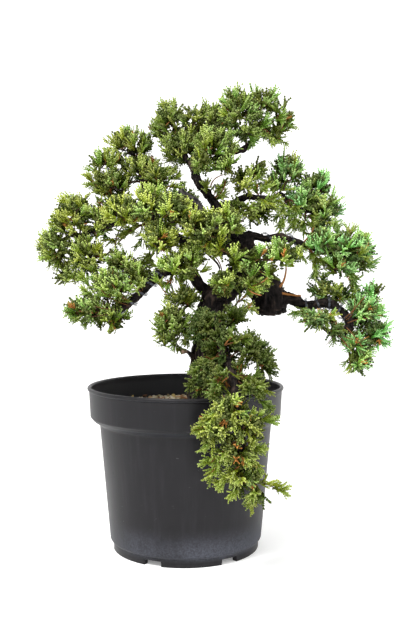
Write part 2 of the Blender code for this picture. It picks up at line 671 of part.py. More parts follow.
def joined_trunk(collection, grow=0.0):
    trunk, *others = trunk_parts(collection, grow)
    for other in others:
        boolean(trunk, "UNION", other)
        bpy.data.objects.remove(other, do_unlink=True)
    return trunk


def build_trunk():
    """The trunk, and a slightly larger copy that its neighbours are cut by."""
    trunk = paint(joined_trunk(PARTS), make_material("bark_trunk", BARK_DARK, 0.90))
    clearance = as_cutter(joined_trunk(CUTTERS, grow=GAP))
    clearance.name = "trunk_clearance"
    return trunk, clearance


def branch_route(name, step):
    points = CASCADE_ROUTE if name == "branch_cascade" else BRANCH_ROUTES[name]
    return catmull_rom(place_route(points, BRANCH_GIRTH), step)


def build_branch(name, cutters):
    """One branch, butted against the wood that it grows from."""
    branch = tube(name, branch_route(name, ROUTE_STEP), 2, PARTS)
    subtract_where_met(branch, cutters)
    colour = DEAD_GREY if name == "snag_left" else BARK_DARK
    return paint(branch, make_material("bark_" + name, colour, 0.90))


def build_wire(name):
    branch_name, start, end, pitch = WIRES[name]
    route = winding(branch_route(branch_name, ROUTE_STEP), start, end, pitch, WIRE_RADIUS)
    wire = tube(name, route, 2, PARTS)
    return paint(wire, make_material("metal_" + name, WIRE_BLACK, 0.40, 1.0))


def foliage_channel(name):
    """A loose six-sided tube that keeps foliage off a branch and any wire on it."""
    wired = [branch for branch, *winding_values in WIRES.values()]
    stand_off = GAP + FOLIAGE_GAP + (2 * WIRE_RADIUS if name in wired else 0.0)
    flats = math.cos(math.pi / 6)
    loose = []
    for x, y, z, radius in branch_route(name, FOLIAGE_CUT_STEP):
        loose.append((x, y, z, (radius + stand_off) / flats))
    return clearance_tube(name + "_channel", loose, 1)


# ---------------------------------------------------------------- foliage

def pad_lobes(name):
    if name == CASCADE_PAD:
        return [(x, FRONT_Y, SOIL_Z + height, *radii) for x, height, *radii in CASCADE_LOBES]
    return [(x, y, SOIL_Z + height, *radii) for x, y, height, *radii in FOLIAGE_PADS[name]]


def build_pad(name, wood_cutters, pad_cutters):
    """One pad of foliage, clear of the wood, the wires and the earlier pads."""
    pad = lobed_solid(name, pad_lobes(name), PARTS)
    subtract_where_met(pad, pad_cutters)
    subtract_where_met(pad, wood_cutters)
    colour = LEAF_BLUE if name.startswith("foliage_right") else LEAF_GREEN
    paint(pad, make_material("leaf_" + name, colour, 0.75))
    return as_cutter(lobed_solid(name + "_clearance", pad_lobes(name), CUTTERS, grow=GAP))


# ---------------------------------------------------------------- assembly

clear_scene()
PARTS = make_collection("bonsai_in_pot")
CUTTERS = make_collection("cutters")

build_pot()
trunk_solid, trunk_cutter = build_trunk()
build_soil(trunk_cutter)
build_grit(trunk_cutter)

wood = [trunk_cutter]
channels = [trunk_cutter]
for branch_name in [*BRANCH_ROUTES, "branch_cascade"]:
    build_branch(branch_name, wood)
    wood.append(clearance_tube(branch_name, branch_route(branch_name, ROUTE_STEP), 2))
    channels.append(foliage_channel(branch_name))
for wire_name in WIRES:
    build_wire(wire_name)

pads = []
for pad_name in [*FOLIAGE_PADS, CASCADE_PAD]:
    pads.append(build_pad(pad_name, channels, pads))
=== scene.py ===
"""The looks of the juniper bonsai in its black nursery pot.

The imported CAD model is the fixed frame.  Bark relief is raised on the CAD wood, shoots
grow from the CAD foliage pads, and the pot, the soil and the grit take their places
from the CAD boxes.  Lengths are metres, but for the tables of places in the foliage,
which are millimetres.  +Z is up, and the viewer is on the -Y side.
"""

import math
from collections import namedtuple

import bmesh
import bpy
import numpy as np
from mathutils import Matrix, Quaternion, Vector
from mathutils.bvhtree import BVHTree
from mathutils.kdtree import KDTree


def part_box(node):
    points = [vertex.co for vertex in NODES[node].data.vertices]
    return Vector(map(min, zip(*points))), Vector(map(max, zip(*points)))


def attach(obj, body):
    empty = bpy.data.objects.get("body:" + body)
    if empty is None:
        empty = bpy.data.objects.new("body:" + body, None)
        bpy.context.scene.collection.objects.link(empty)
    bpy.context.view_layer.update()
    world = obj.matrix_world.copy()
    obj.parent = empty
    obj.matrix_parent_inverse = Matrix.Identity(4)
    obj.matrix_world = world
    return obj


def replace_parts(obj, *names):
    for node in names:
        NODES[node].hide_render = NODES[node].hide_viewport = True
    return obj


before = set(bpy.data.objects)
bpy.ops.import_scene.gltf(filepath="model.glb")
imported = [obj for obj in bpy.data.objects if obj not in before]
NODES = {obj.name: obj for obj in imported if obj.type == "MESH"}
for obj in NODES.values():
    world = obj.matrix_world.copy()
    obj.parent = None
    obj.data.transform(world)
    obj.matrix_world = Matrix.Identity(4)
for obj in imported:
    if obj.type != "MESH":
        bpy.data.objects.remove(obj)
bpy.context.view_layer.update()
SEED = 20

# ---- materials


class Recipe:
    """A Principled material whose sockets take numbers, colours or other nodes."""

    def __init__(self, name):
        self.material = bpy.data.materials.new(name)
        self.material.use_nodes = True
        self.tree = self.material.node_tree
        self.shader = self.tree.nodes["Principled BSDF"]
        self.place = self.add("TexCoord").outputs["Object"]

    def add(self, kind, inputs=None, **settings):
        made = self.tree.nodes.new("ShaderNode" + kind)
        for key, value in settings.items():
            setattr(made, key, value)
        for key, value in (inputs or {}).items():
            self.plug(value, made.inputs[key])
        return made

    def plug(self, value, socket):
        if isinstance(value, bpy.types.NodeSocket):
            self.tree.links.new(value, socket)
        else:
            socket.default_value = value

    def math(self, operation, first, second=0.0, clamp=False):
        made = self.add("Math", {0: first, 1: second}, operation=operation, use_clamp=clamp)
        return made.outputs[0]

    def times(self, first, *others):
        for other in others:
            first = self.math("MULTIPLY", first, other)
        return first

    def plus(self, first, second, clamp=False):
        return self.math("ADD", first, second, clamp)

    def stretched(self, x, y, z):
        """Object coordinates scaled differently along each axis."""
        made = self.add("Mapping", {"Vector": self.place, "Scale": (x, y, z)})
        return made.outputs["Vector"]

    def noise(self, scale, detail=4.0, roughness=0.55, vector=None):
        inputs = {"Vector": vector or self.place, "Scale": scale}
        inputs |= {"Detail": detail, "Roughness": roughness}
        return self.add("TexNoise", inputs).outputs["Fac"]

    def window(self, value, low, high):
        """0 below low, 1 above high, smooth between; falls instead if low > high."""
        inputs = {"Value": value, "From Min": min(low, high), "From Max": max(low, high)}
        inputs |= {"To Min": float(low > high), "To Max": float(low <= high)}
        made = self.add("MapRange", inputs, interpolation_type="SMOOTHSTEP")
        return made.outputs["Result"]

    def ramp(self, factor, stops):
        made = self.add("ValToRGB", {"Fac": factor})
        points = made.color_ramp.elements
        while len(points) < len(stops):
            points.new(1.0)
        for point, (position, colour) in zip(points, stops):
            point.position = position
            point.color = (*colour, 1.0)
        return made.outputs["Color"]

    def greys(self, factor, *stops):
        return self.ramp(factor, [(position, (value,) * 3) for position, value in stops])

    def blend(self, factor, first, second, mode="MIX"):
        made = self.add("Mix", {0: factor}, data_type="RGBA", blend_type=mode)
        for value, socket in ((first, made.inputs[6]), (second, made.inputs[7])):
            self.plug((*value, 1.0) if isinstance(value, tuple) else value, socket)
        return made.outputs[2]

    def bump(self, height, distance, strength=1.0, under=None):
        inputs = {"Height": height, "Distance": distance, "Strength": strength}
        if under:
            inputs["Normal"] = under
        return self.add("Bump", inputs).outputs["Normal"]

    def finish(self, colour, roughness, normal=None, **fixed):
        self.plug(colour, self.shader.inputs["Base Color"])
        self.plug(roughness, self.shader.inputs["Roughness"])
        if normal:
            self.plug(normal, self.shader.inputs["Normal"])
        for key, value in fixed.items():
            self.shader.inputs[key.replace("_", " ")].default_value = value
        return self.material


# Dark nicks in the pot's side: x, z and reach.
NICKS = [(-0.0924, 0.1440, 0.0040), (-0.0905, 0.1105, 0.0030), (-0.0885, 0.1060, 0.0022)]
NICK_SQUEEZE = 0.35             # of a nick's width against its height
CHALK_TOP, CHALK_FULL = 0.052, 0.014


def pot_material():
    """Dull black plastic: chalky towards the foot, painted lighter inside as a painted sheen, scraped and
    nicked.
    """
    recipe = Recipe("pot_plastic")
    parts = recipe.add("SeparateXYZ", {"Vector": recipe.place}).outputs
    normal = recipe.add("NewGeometry").outputs["Normal"]
    facing = recipe.add("VectorMath", {0: recipe.place, 1: normal}, operation="DOT_PRODUCT")
    inside = recipe.window(facing.outputs["Value"], -0.02, -0.06)
    streaks = recipe.noise(1.0, 5.0, 0.6, recipe.stretched(150.0, 150.0, 6.0))
    scrapes = recipe.noise(1.0, 3.0, 0.5, recipe.stretched(60.0, 60.0, 420.0))
    cloud = recipe.noise(14.0, 4.0)
    speckle = recipe.noise(420.0, 3.0, 0.7)
    fleck = recipe.noise(160.0, 5.0, 0.75)
    base = recipe.ramp(cloud, [(0.3, (0.0040, 0.0036, 0.0048)), (0.7, (0.0062, 0.0056, 0.0072))])
    base = recipe.blend(recipe.window(streaks, 0.45, 0.75), base, (0.0100, 0.0092, 0.0116))
    chalk = recipe.times(recipe.window(parts["Z"], CHALK_TOP, CHALK_FULL),
                         recipe.window(parts["Z"], 0.004, 0.014),
                         recipe.plus(recipe.window(cloud, 0.30, 0.70), 0.35, clamp=True),
                         recipe.plus(recipe.window(speckle, 0.20, 0.90), 0.30, clamp=True),
                         recipe.plus(recipe.window(fleck, 0.30, 0.62), 0.45, clamp=True))
    base = recipe.blend(recipe.times(chalk, 0.55), base, (0.105, 0.112, 0.142))
    # Painted sheen: the inside wall is painted a lighter blue-grey, standing in for the light it reflects.
    base = recipe.blend(recipe.times(inside, 0.8), base, (0.022, 0.023, 0.027))
    for x, z, reach in NICKS:
        across = recipe.math("DIVIDE", recipe.math("SUBTRACT", parts["X"], x), NICK_SQUEEZE)
        away = recipe.add("CombineXYZ", {"X": across, "Y": recipe.math("SUBTRACT", parts["Z"], z)})
        away = recipe.add("VectorMath", {0: away.outputs["Vector"]}, operation="LENGTH")
        nick = recipe.window(away.outputs["Value"], reach, reach * 0.5)
        nick = recipe.times(nick, recipe.window(fleck, 0.30, 0.45))
        base = recipe.blend(nick, base, (0.0005, 0.0005, 0.0006))
    dust = recipe.times(recipe.window(speckle, 0.66, 0.74), recipe.window(fleck, 0.5, 0.7))
    scratch = recipe.times(recipe.window(scrapes, 0.70, 0.74), recipe.window(fleck, 0.50, 0.62))
    marks = recipe.plus(recipe.times(dust, 0.5), recipe.times(scratch, 0.25))
    base = recipe.blend(marks, base, (0.20, 0.20, 0.21))
    roughness = recipe.plus(recipe.times(cloud, 0.14), 0.36)
    roughness = recipe.plus(roughness, recipe.times(chalk, 0.25), clamp=True)
    normal = recipe.bump(streaks, 0.0002, 0.35, recipe.bump(speckle, 0.0001, 0.35))
    return recipe.finish(base, roughness, normal, Specular_IOR_Level=0.22)


def soil_material():
    recipe = Recipe("soil")
    crumbs = recipe.noise(260.0, 6.0, 0.7)
    colour = recipe.ramp(crumbs, [(0.35, (0.020, 0.012, 0.008)), (0.60, (0.075, 0.045, 0.026)),
                                  (0.75, (0.140, 0.090, 0.055))])
    normal = recipe.bump(crumbs, 0.0015)
    return recipe.finish(colour, recipe.greys(crumbs, (0.3, 0.8), (0.8, 1.0)), normal)


def tinted_material(name, stops, roughness, grain_scale, grain_depth):
    """Colour picked by each bit's own tint, with a fine grain over it."""
    recipe = Recipe(name)
    tint = recipe.add("Attribute", attribute_name="tint").outputs["Fac"]
    grain = recipe.noise(grain_scale, 5.0, 0.65)
    colour = recipe.ramp(tint, stops)
    shade = recipe.greys(grain, (0.3, 0.62), (0.7, 1.10))
    colour = recipe.blend(1.0, colour, shade, "MULTIPLY")
    rough = recipe.greys(grain, (0.2, roughness - 0.12), (0.8, roughness))
    return recipe.finish(colour, rough, recipe.bump(grain, grain_depth), Specular_IOR_Level=0.2)


def bark_material(name, crevice, ridge, lichen, lichen_share):
    """Fibrous bark: the ridge attribute is the relief that the mesh carries."""
    recipe = Recipe(name)
    relief = recipe.add("Attribute", attribute_name="ridge").outputs["Fac"]
    pale = recipe.add("Attribute", attribute_name="pale").outputs["Fac"]
    fibres = recipe.noise(900.0, 6.0, 0.7)
    patches = recipe.noise(48.0, 4.0, 0.6)
    height = recipe.plus(recipe.times(relief, 0.7), recipe.times(fibres, 0.4))
    colour = recipe.ramp(height, [(0.32, crevice), (0.60, ridge), (0.88, lichen)])
    spots = recipe.window(patches, 1.0 - lichen_share, 1.05 - lichen_share)
    colour = recipe.blend(recipe.times(spots, 0.65), colour, lichen)
    wood = recipe.ramp(fibres, [(0.3, (0.42, 0.26, 0.17)), (0.7, (0.66, 0.47, 0.34))])
    colour = recipe.blend(pale, colour, wood)
    roughness = recipe.greys(fibres, (0.2, 0.62), (0.8, 0.92))
    return recipe.finish(colour, roughness, recipe.bump(fibres, 0.0008, 0.9), Specular_IOR_Level=0.12)


def wire_material():
    recipe = Recipe("wire")
    painted_sheen = recipe.noise(220.0, 4.0)
    # Painted sheen: the wire's blue-grey, lighter in patches, stands in for glints of light on the dark wire.
    colour = recipe.ramp(painted_sheen, [(0.35, (0.060, 0.065, 0.082)), (0.7, (0.150, 0.158, 0.185))])
    roughness = recipe.greys(painted_sheen, (0.3, 0.28), (0.7, 0.48))
    return recipe.finish(colour, roughness, recipe.bump(painted_sheen, 0.0001), Metallic=0.6)


# Each hue has shades of lightness: a tuft's own tone together with painted light and painted shade.
TINTS, SHADES = 8, 8            # foliage hues, and shades of each; the last hue is dead


def foliage_material(name, warm_stops, cool_stops):
    """Shoots carry a map: across is the hue and shade, up runs from a shoot's foot to its tips."""
    recipe = Recipe(name)
    place = recipe.add("UVMap", uv_map="OFBake").outputs["UV"]
    parts = recipe.add("SeparateXYZ", {"Vector": place})
    across, up = parts.outputs["X"], parts.outputs["Y"]
    column = recipe.math("FLOOR", recipe.times(across, float(TINTS * SHADES)))
    tint = recipe.math("FLOOR", recipe.math("DIVIDE", column, float(SHADES)))
    shade = recipe.math("MODULO", column, float(SHADES))
    dead = recipe.ramp(up, [(0.0, (0.060, 0.022, 0.008)), (0.5, (0.230, 0.080, 0.018)),
                            (1.0, (0.480, 0.230, 0.060))])
    hue = recipe.math("DIVIDE", tint, float(TINTS - 2), clamp=True)
    # Along up, each shoot darkens towards its foot as painted shade of the pad's inside, and pales at its
    # tips as a painted highlight.
    colour = recipe.blend(hue, recipe.ramp(up, warm_stops), recipe.ramp(up, cool_stops))
    is_dead = recipe.math("GREATER_THAN", tint, TINTS - 1.5)
    colour = recipe.blend(is_dead, colour, dead)
    # Painted light and shade: the shade column darkens or lightens the colour, both for a tuft's own tone and
    # for how light falls on it.
    light = recipe.plus(recipe.times(shade, 0.20), 0.36)
    grey = recipe.add("CombineXYZ", {"X": light, "Y": light, "Z": light}).outputs["Vector"]
    colour = recipe.blend(1.0, colour, grey, "MULTIPLY")
    roughness = recipe.greys(up, (0.0, 0.80), (1.0, 0.55))
    grain = recipe.noise(1500.0, 2.0)
    return recipe.finish(colour, roughness, recipe.bump(grain, 0.0001, 0.5), Specular_IOR_Level=0.06)


# Colours along a shoot: a brown foot, dark green low down as painted shade, the leaf's own green, and pale
# tips that are a painted highlight.
LEAF_WARM = [(0.0, (0.130, 0.050, 0.010)), (0.14, (0.080, 0.060, 0.007)), (0.40, (0.130, 0.150, 0.009)),
             (0.72, (0.208, 0.262, 0.019)), (1.0, (0.500, 0.520, 0.190))]
LEAF_COOL = [(0.0, (0.115, 0.044, 0.010)), (0.14, (0.048, 0.050, 0.007)), (0.40, (0.068, 0.138, 0.011)),
             (0.72, (0.120, 0.245, 0.031)), (1.0, (0.410, 0.500, 0.220))]
LEAF_BLUE = [(0.0, (0.125, 0.048, 0.010)), (0.14, (0.040, 0.056, 0.010)), (0.40, (0.060, 0.172, 0.022)),
             (0.72, (0.124, 0.335, 0.070)), (1.0, (0.400, 0.580, 0.310))]


# ---- mesh helpers

def placed(name, data):
    """A new object in the scene."""
    made = bpy.data.objects.new(name, data)
    bpy.context.scene.collection.objects.link(made)
    return made


def wrap(name, mesh, material):
    """A mesh as a piece that rides on the root body."""
    mesh.materials.clear()
    mesh.materials.append(material)
    piece = placed(name, mesh)
    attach(piece, "root")
    return piece


def carry(mesh, attributes):
    """Gives a mesh one number per point under each name."""
    for key, values in attributes.items():
        layer = mesh.attributes.new(key, "FLOAT", "POINT")
        layer.data.foreach_set("value", np.asarray(values, np.float32))


def make_piece(name, points, faces, material, attributes=None, uv=None):
    """A smooth piece from arrays of points and equal-sided faces."""
    faces = np.asarray(faces, np.int32)
    count, sides = faces.shape
    mesh = bpy.data.meshes.new(name)
    mesh.vertices.add(len(points))
    mesh.vertices.foreach_set("co", np.asarray(points, np.float32).ravel())
    mesh.loops.add(count * sides)
    mesh.loops.foreach_set("vertex_index", faces.ravel())
    mesh.polygons.add(count)
    mesh.polygons.foreach_set("loop_start", np.arange(0, count * sides, sides, dtype=np.int32))
    carry(mesh, attributes or {})
    if uv is not None:
        layer = mesh.uv_layers.new(name="OFBake")
        layer.uv.foreach_set("vector", np.asarray(uv, np.float32)[faces.ravel()].ravel())
    mesh.update(calc_edges=True)
    mesh.shade_smooth()
    return wrap(name, mesh, material)


def baked(item):
    """A new mesh of an object with its modifiers applied."""
    bpy.context.view_layer.update()
    graph = bpy.context.evaluated_depsgraph_get()
    return bpy.data.meshes.new_from_object(item.evaluated_get(graph))


def read(items, key, kind=np.float32, width=3):
    """One property of all a mesh's vertices, edges or triangles, a row each."""
    flat = np.empty(len(items) * width, kind)
    items.foreach_get(key, flat)
    return flat.reshape(-1, width)


def points_of(mesh):
    return read(mesh.vertices, "co").astype(float)


def triangles_of(mesh):
    mesh.calc_loop_triangles()
    return read(mesh.loop_triangles, "vertices", np.int32)


class Heap:
    """Many small shapes gathered into one: points, faces and values for each point."""

    def __init__(self):
        self.points, self.faces, self.values, self.count = [], [], [], 0

    def add(self, points, faces, values=()):
        self.points.append(np.asarray(points))
        self.faces.append(np.asarray(faces) + self.count)
        self.values.append(np.asarray(values))
        self.count += len(points)

    def joined(self):
        return np.vstack(self.points), np.vstack(self.faces), np.concatenate(self.values)


def unit(vectors):
    vectors = np.asarray(vectors, float)
    return vectors / np.maximum(np.linalg.norm(vectors, axis=-1, keepdims=True), 1e-12)


def tree_of(points):
    tree = KDTree(len(points))
    for index, point in enumerate(points):
        tree.insert(point, index)
    tree.balance()
    return tree


def surface_spots(node, spacing, rng):
    """Points about `spacing` apart on a CAD node's surface, with their normals."""
    mesh = NODES[node].data
    corners = points_of(mesh)[triangles_of(mesh)]
    first, second, third = corners[:, 0], corners[:, 1], corners[:, 2]
    normals = np.cross(second - first, third - first)
    areas = np.linalg.norm(normals, axis=1) / 2
    tries = int(8 * areas.sum() / spacing ** 2)
    picked = rng.choice(len(areas), tries, p=areas / areas.sum())
    u, v = rng.random((2, tries, 1))
    fold = u + v > 1
    u, v = np.where(fold, 1 - u, u), np.where(fold, 1 - v, v)
    spots = first[picked] + (second - first)[picked] * u + (third - first)[picked] * v
    kept = np.empty((0, 3))
    chosen = []
    for index, spot in enumerate(spots):
        if len(kept) == 0 or (((kept - spot) ** 2).sum(1) > spacing ** 2).all():
            kept = np.vstack([kept, spot])
            chosen.append(index)
    return kept, unit(normals[picked[chosen]])


# ---- pot

LIP_RADIUS = 0.0026
WALL = 0.0022
COLLAR_HEIGHT = 0.041
COLLAR_INSET = 0.0022
COLLAR_DRAFT = 0.0015
SHOULDER_STEP = 0.0125
SHOULDER_DROP = 0.0095
BODY_DRAFT = 0.0130
BASE_ROUND = 0.0055
FOOT_INSET = 0.0040
FOOT_HEIGHT = 0.0100
FOOT_WIDTH = 0.0075
FLOOR_BOTTOM = 0.0080
FLOOR_THICKNESS = 0.0026
FOOT_COUNT = 6
NOTCH_HEIGHT = 0.0070
NOTCH_ANGLE = 14.0
NOTCH_START = 36.0
EDGE = 0.0008               # rounding of the foot's edges
CENTRE_PAD_RADIUS = 0.022
DRAIN_RADIUS = 0.005
DRAIN_RING = 0.072
POT_COLUMNS = 300

POT_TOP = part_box("pot")[1].z
RIM_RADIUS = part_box("pot")[1].x
GRIT_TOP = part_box("grit_top_dressing")[1].z


def arc(centre_r, centre_z, radius, start, end, steps):
    angles = np.radians(np.linspace(start, end, steps + 1))
    return [(centre_r + radius * math.cos(a), centre_z + radius * math.sin(a)) for a in angles]


def eased(first, second, steps):
    """A profile that leaves the first point and meets the second one upright."""
    rows = []
    for share in np.linspace(0, 1, steps + 1):
        ease = share * share * (3 - 2 * share)
        rows.append((first[0] + (second[0] - first[0]) * ease, first[1] + (second[1] - first[1]) * share))
    return rows


def straight(first, second, steps):
    return [tuple(row) for row in np.linspace(first, second, steps + 1)]


def pot_profile():
    """(radius, height) from the middle of the inside floor round to the middle below."""
    collar_top = RIM_RADIUS - COLLAR_INSET
    collar_low = collar_top - COLLAR_DRAFT
    shoulder = POT_TOP - COLLAR_HEIGHT
    body_top = collar_low - SHOULDER_STEP
    body_low = body_top - BODY_DRAFT
    waist = shoulder - SHOULDER_DROP
    base = FOOT_HEIGHT + BASE_ROUND
    foot = body_low - FOOT_INSET
    floor_top = FLOOR_BOTTOM + FLOOR_THICKNESS
    inside = [(0.0, floor_top)]
    inside += arc(body_low - WALL - BASE_ROUND, floor_top + BASE_ROUND, BASE_ROUND, -90, 0, 6)
    inside += straight((body_low - WALL, base + WALL), (body_top - WALL, waist), 10)
    inside += eased((body_top - WALL, waist + WALL), (collar_low - WALL, shoulder + WALL), 8)
    inside += straight((collar_low - WALL, shoulder + 2 * WALL),
                       (collar_top - WALL, POT_TOP - 2 * LIP_RADIUS), 6)
    lip = arc(RIM_RADIUS - LIP_RADIUS, POT_TOP - LIP_RADIUS, LIP_RADIUS, 175, -80, 14)
    outside = eased((collar_top + 0.0004, POT_TOP - 2.1 * LIP_RADIUS),
                    (collar_top, POT_TOP - 2.8 * LIP_RADIUS), 2)
    outside += straight((collar_top, POT_TOP - 3 * LIP_RADIUS), (collar_low, shoulder + 0.004), 12)
    outside += arc(collar_low - 0.003, shoulder + 0.003, 0.003, 0, -50, 6)
    outside += eased((collar_low - 0.0022, shoulder - 0.0002), (body_top, waist), 10)[1:]
    outside += straight((body_top - 0.0001, waist - 0.002), (body_low, base), 30)
    outside += arc(body_low - BASE_ROUND * 0.75, base, BASE_ROUND * 0.75, 0, -80, 6)[1:]
    outside += [(foot, FOOT_HEIGHT), (foot, FOOT_HEIGHT - EDGE)]
    ring = [(foot, EDGE)] + arc(foot - EDGE, EDGE, EDGE, -20, -90, 3)
    ring += arc(foot - FOOT_WIDTH + EDGE, EDGE, EDGE, -90, -180, 3)
    under = [(foot - FOOT_WIDTH, FLOOR_BOTTOM), (CENTRE_PAD_RADIUS + 0.002, FLOOR_BOTTOM)]
    under += [(CENTRE_PAD_RADIUS, 0.001), (CENTRE_PAD_RADIUS - 0.001, 0.0), (0.0, 0.0)]
    rows = inside + lip + outside + ring + under
    return np.array(rows), len(inside + lip + outside), len(ring)


def build_pot():
    profile, ring_start, ring_count = pot_profile()
    angles = list(np.linspace(0, 360, POT_COLUMNS, endpoint=False))
    for index in range(FOOT_COUNT):
        middle = (NOTCH_START + 360 / FOOT_COUNT * index - 90) % 360
        for side in (-1, 1):
            edge = middle + side * NOTCH_ANGLE / 2
            angles += [edge % 360, (edge - side * 0.35) % 360]
    angles = np.array(sorted(set(np.round(angles, 4))))
    turn = np.radians(angles)
    rows = len(profile)
    radius = np.repeat(profile[None, :, 0], len(angles), 0)
    height = np.repeat(profile[None, :, 1], len(angles), 0)
    spacing = 360 / FOOT_COUNT
    from_notch = np.abs((angles + 90 - NOTCH_START + spacing / 2) % spacing - spacing / 2)
    in_notch = from_notch < NOTCH_ANGLE / 2 - 0.2
    ring = slice(ring_start, ring_start + ring_count)
    height[in_notch, ring] = NOTCH_HEIGHT - 0.3 * EDGE + 0.3 * height[in_notch, ring]
    points = np.stack([radius * np.cos(turn)[:, None], radius * np.sin(turn)[:, None], height], 2)
    column, row = np.meshgrid(np.arange(len(angles)), np.arange(rows - 1), indexing="ij")
    after = (column + 1) % len(angles)
    faces = np.stack([column * rows + row, column * rows + row + 1,
                      after * rows + row + 1, after * rows + row], 2).reshape(-1, 4)
    pot = make_piece("pot_moulded", points.reshape(-1, 3), faces[:, ::-1], pot_material())
    tidy = bmesh.new()
    tidy.from_mesh(pot.data)
    bmesh.ops.remove_doubles(tidy, verts=tidy.verts, dist=0.000005)
    bmesh.ops.dissolve_degenerate(tidy, edges=tidy.edges, dist=0.000001)
    bmesh.ops.recalc_face_normals(tidy, faces=tidy.faces)
    tidy.to_mesh(pot.data)
    tidy.free()
    drill(pot)
    pot.data.set_sharp_from_angle(angle=math.radians(40))
    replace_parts(pot, "pot")


def drill(pot):
    """Drain holes through the floor, one beside each notch of the foot ring."""
    made = bmesh.new()
    for index in range(FOOT_COUNT):
        angle = math.radians(NOTCH_START + 360 / FOOT_COUNT * index - 90)
        centre = (DRAIN_RING * math.cos(angle), DRAIN_RING * math.sin(angle), FLOOR_BOTTOM)
        bmesh.ops.create_cone(made, cap_ends=True, segments=32, radius1=DRAIN_RADIUS, radius2=DRAIN_RADIUS,
                              depth=4 * FLOOR_THICKNESS, matrix=Matrix.Translation(centre))
    drills = placed("drills", bpy.data.meshes.new("drills"))
    made.to_mesh(drills.data)
    made.free()
    holes = pot.modifiers.new("holes", "BOOLEAN")
    holes.operation, holes.solver, holes.object = "DIFFERENCE", "EXACT", drills
    drilled = baked(pot)
    pot.modifiers.clear()
    pot.data = drilled
    bpy.data.objects.remove(drills, do_unlink=True)


# ---- soil and grit

def lumpy(points, rng, amount, waves=6):
    """Points pushed out or in by a few slow waves, so that no two lumps are alike."""
    radius = np.linalg.norm(points, axis=1, keepdims=True)
    swell = np.zeros(len(points))
    for _ in range(waves):
        heading = unit(rng.normal(size=3)) * rng.uniform(1.0, 3.2)
        swell += np.sin(unit(points) @ heading * 2.2 + rng.uniform(0, 6.3))
    return points * (1 + amount * swell[:, None] / math.sqrt(waves)) * (radius > 0)


def ball(subdivisions):
    made = bmesh.new()
    bmesh.ops.create_icosphere(made, subdivisions=subdivisions, radius=1.0)
    points = np.array([vertex.co[:] for vertex in made.verts])
    faces = np.array([[vertex.index for vertex in face.verts] for face in made.faces])
    made.free()
    return points, faces


def random_turns(count, rng):
    """Rotation matrices spread evenly over all turns."""
    return np.array([Quaternion(turn).to_matrix() for turn in unit(rng.normal(size=(count, 4)))])


def scatter_bits(name, shapes, faces, places, scales, turns, tints, material):
    """Many small closed lumps as one piece; shapes are point sets with the same faces."""
    count, corners = len(places), len(shapes[0])
    shape = np.array(shapes)[np.arange(count) % len(shapes)]
    points = np.einsum("nij,nkj->nki", turns, shape * scales[:, None, :]) + places[:, None, :]
    all_faces = (faces[None] + (np.arange(count) * corners)[:, None, None]).reshape(-1, faces.shape[1])
    piece = make_piece(name, points.reshape(-1, 3), all_faces, material,
                       attributes={"tint": np.repeat(tints, corners)})
    piece.data.set_sharp_from_angle(angle=math.radians(35))
    return piece


def disc_places(count, radius, rng):
    """Evenly random places on a disc by the golden angle, each nudged a little."""
    index = np.arange(count) + 0.5
    distance = np.sqrt(index / count) * radius
    angle = index * math.radians(137.508)
    spacing = radius * math.sqrt(math.pi / count)
    flat = np.stack([distance * np.cos(angle), distance * np.sin(angle)], 1)
    return flat + rng.normal(size=(count, 2)) * 0.22 * spacing


def disc_faces(rings, columns):
    """Triangles of a disc: a point in the middle, then rings of points about it."""
    faces = [(0, 1 + column, 1 + (column + 1) % columns) for column in range(columns)]
    for ring in range(1, rings):
        for column in range(columns):
            outer, after = (1 + ring * columns + place % columns for place in (column, column + 1))
            faces += [(outer - columns, outer, after), (outer - columns, after, after - columns)]
    return faces


SOIL_SKIRT = 0.003


def build_soil():
    """The rough surface of the soil, closed below by a short skirt."""
    rng = np.random.default_rng(SEED + 1)
    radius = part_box("grit_top_dressing")[1].x - 0.0012
    rings, columns = 60, 160
    distance = np.append(0, np.repeat(np.arange(1, rings + 1) / rings, columns))
    angle = np.append(0, np.tile(np.arange(columns) * 2 * math.pi / columns, rings))
    points = np.column_stack([radius * distance * np.cos(angle), radius * distance * np.sin(angle), distance])
    bumps = np.zeros(len(points))
    for _ in range(40):
        heading = rng.normal(size=2) * 180.0
        bumps += np.sin(points[:, :2] @ heading + rng.uniform(0, 6.3))
    points[:, 2] = GRIT_TOP - 0.0045 - 0.003 * distance ** 2 + bumps * 0.00012
    skirt = points[-columns:] - (0, 0, SOIL_SKIRT)
    bottom = len(points) + columns
    points = np.vstack([points, skirt, [(0.0, 0.0, points[-1, 2] - SOIL_SKIRT)]])
    edge = bottom - columns
    faces = disc_faces(rings + 1, columns)
    faces += [(edge + (column + 1) % columns, edge + column, bottom) for column in range(columns)]
    piece = make_piece("soil_surface", points, faces, soil_material())
    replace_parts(piece, "soil")


GRIT_COUNT, CHIP_COUNT = 1900, 150
GRIT_DOME = 0.0025              # fall of the grit from its middle to its edge
TRUNK_FOOT, TRUNK_ROOM = (0.027, 0.004), 0.022
GRIT_COLOURS = [(0.0, (0.120, 0.085, 0.045)), (0.25, (0.330, 0.265, 0.160)), (0.6, (0.540, 0.460, 0.310)),
                (0.9, (0.700, 0.640, 0.500)), (1.0, (0.240, 0.120, 0.055))]
CHIP_COLOURS = [(0.0, (0.060, 0.028, 0.015)), (0.5, (0.190, 0.080, 0.035)), (0.8, (0.330, 0.170, 0.070)),
                (1.0, (0.400, 0.330, 0.110))]


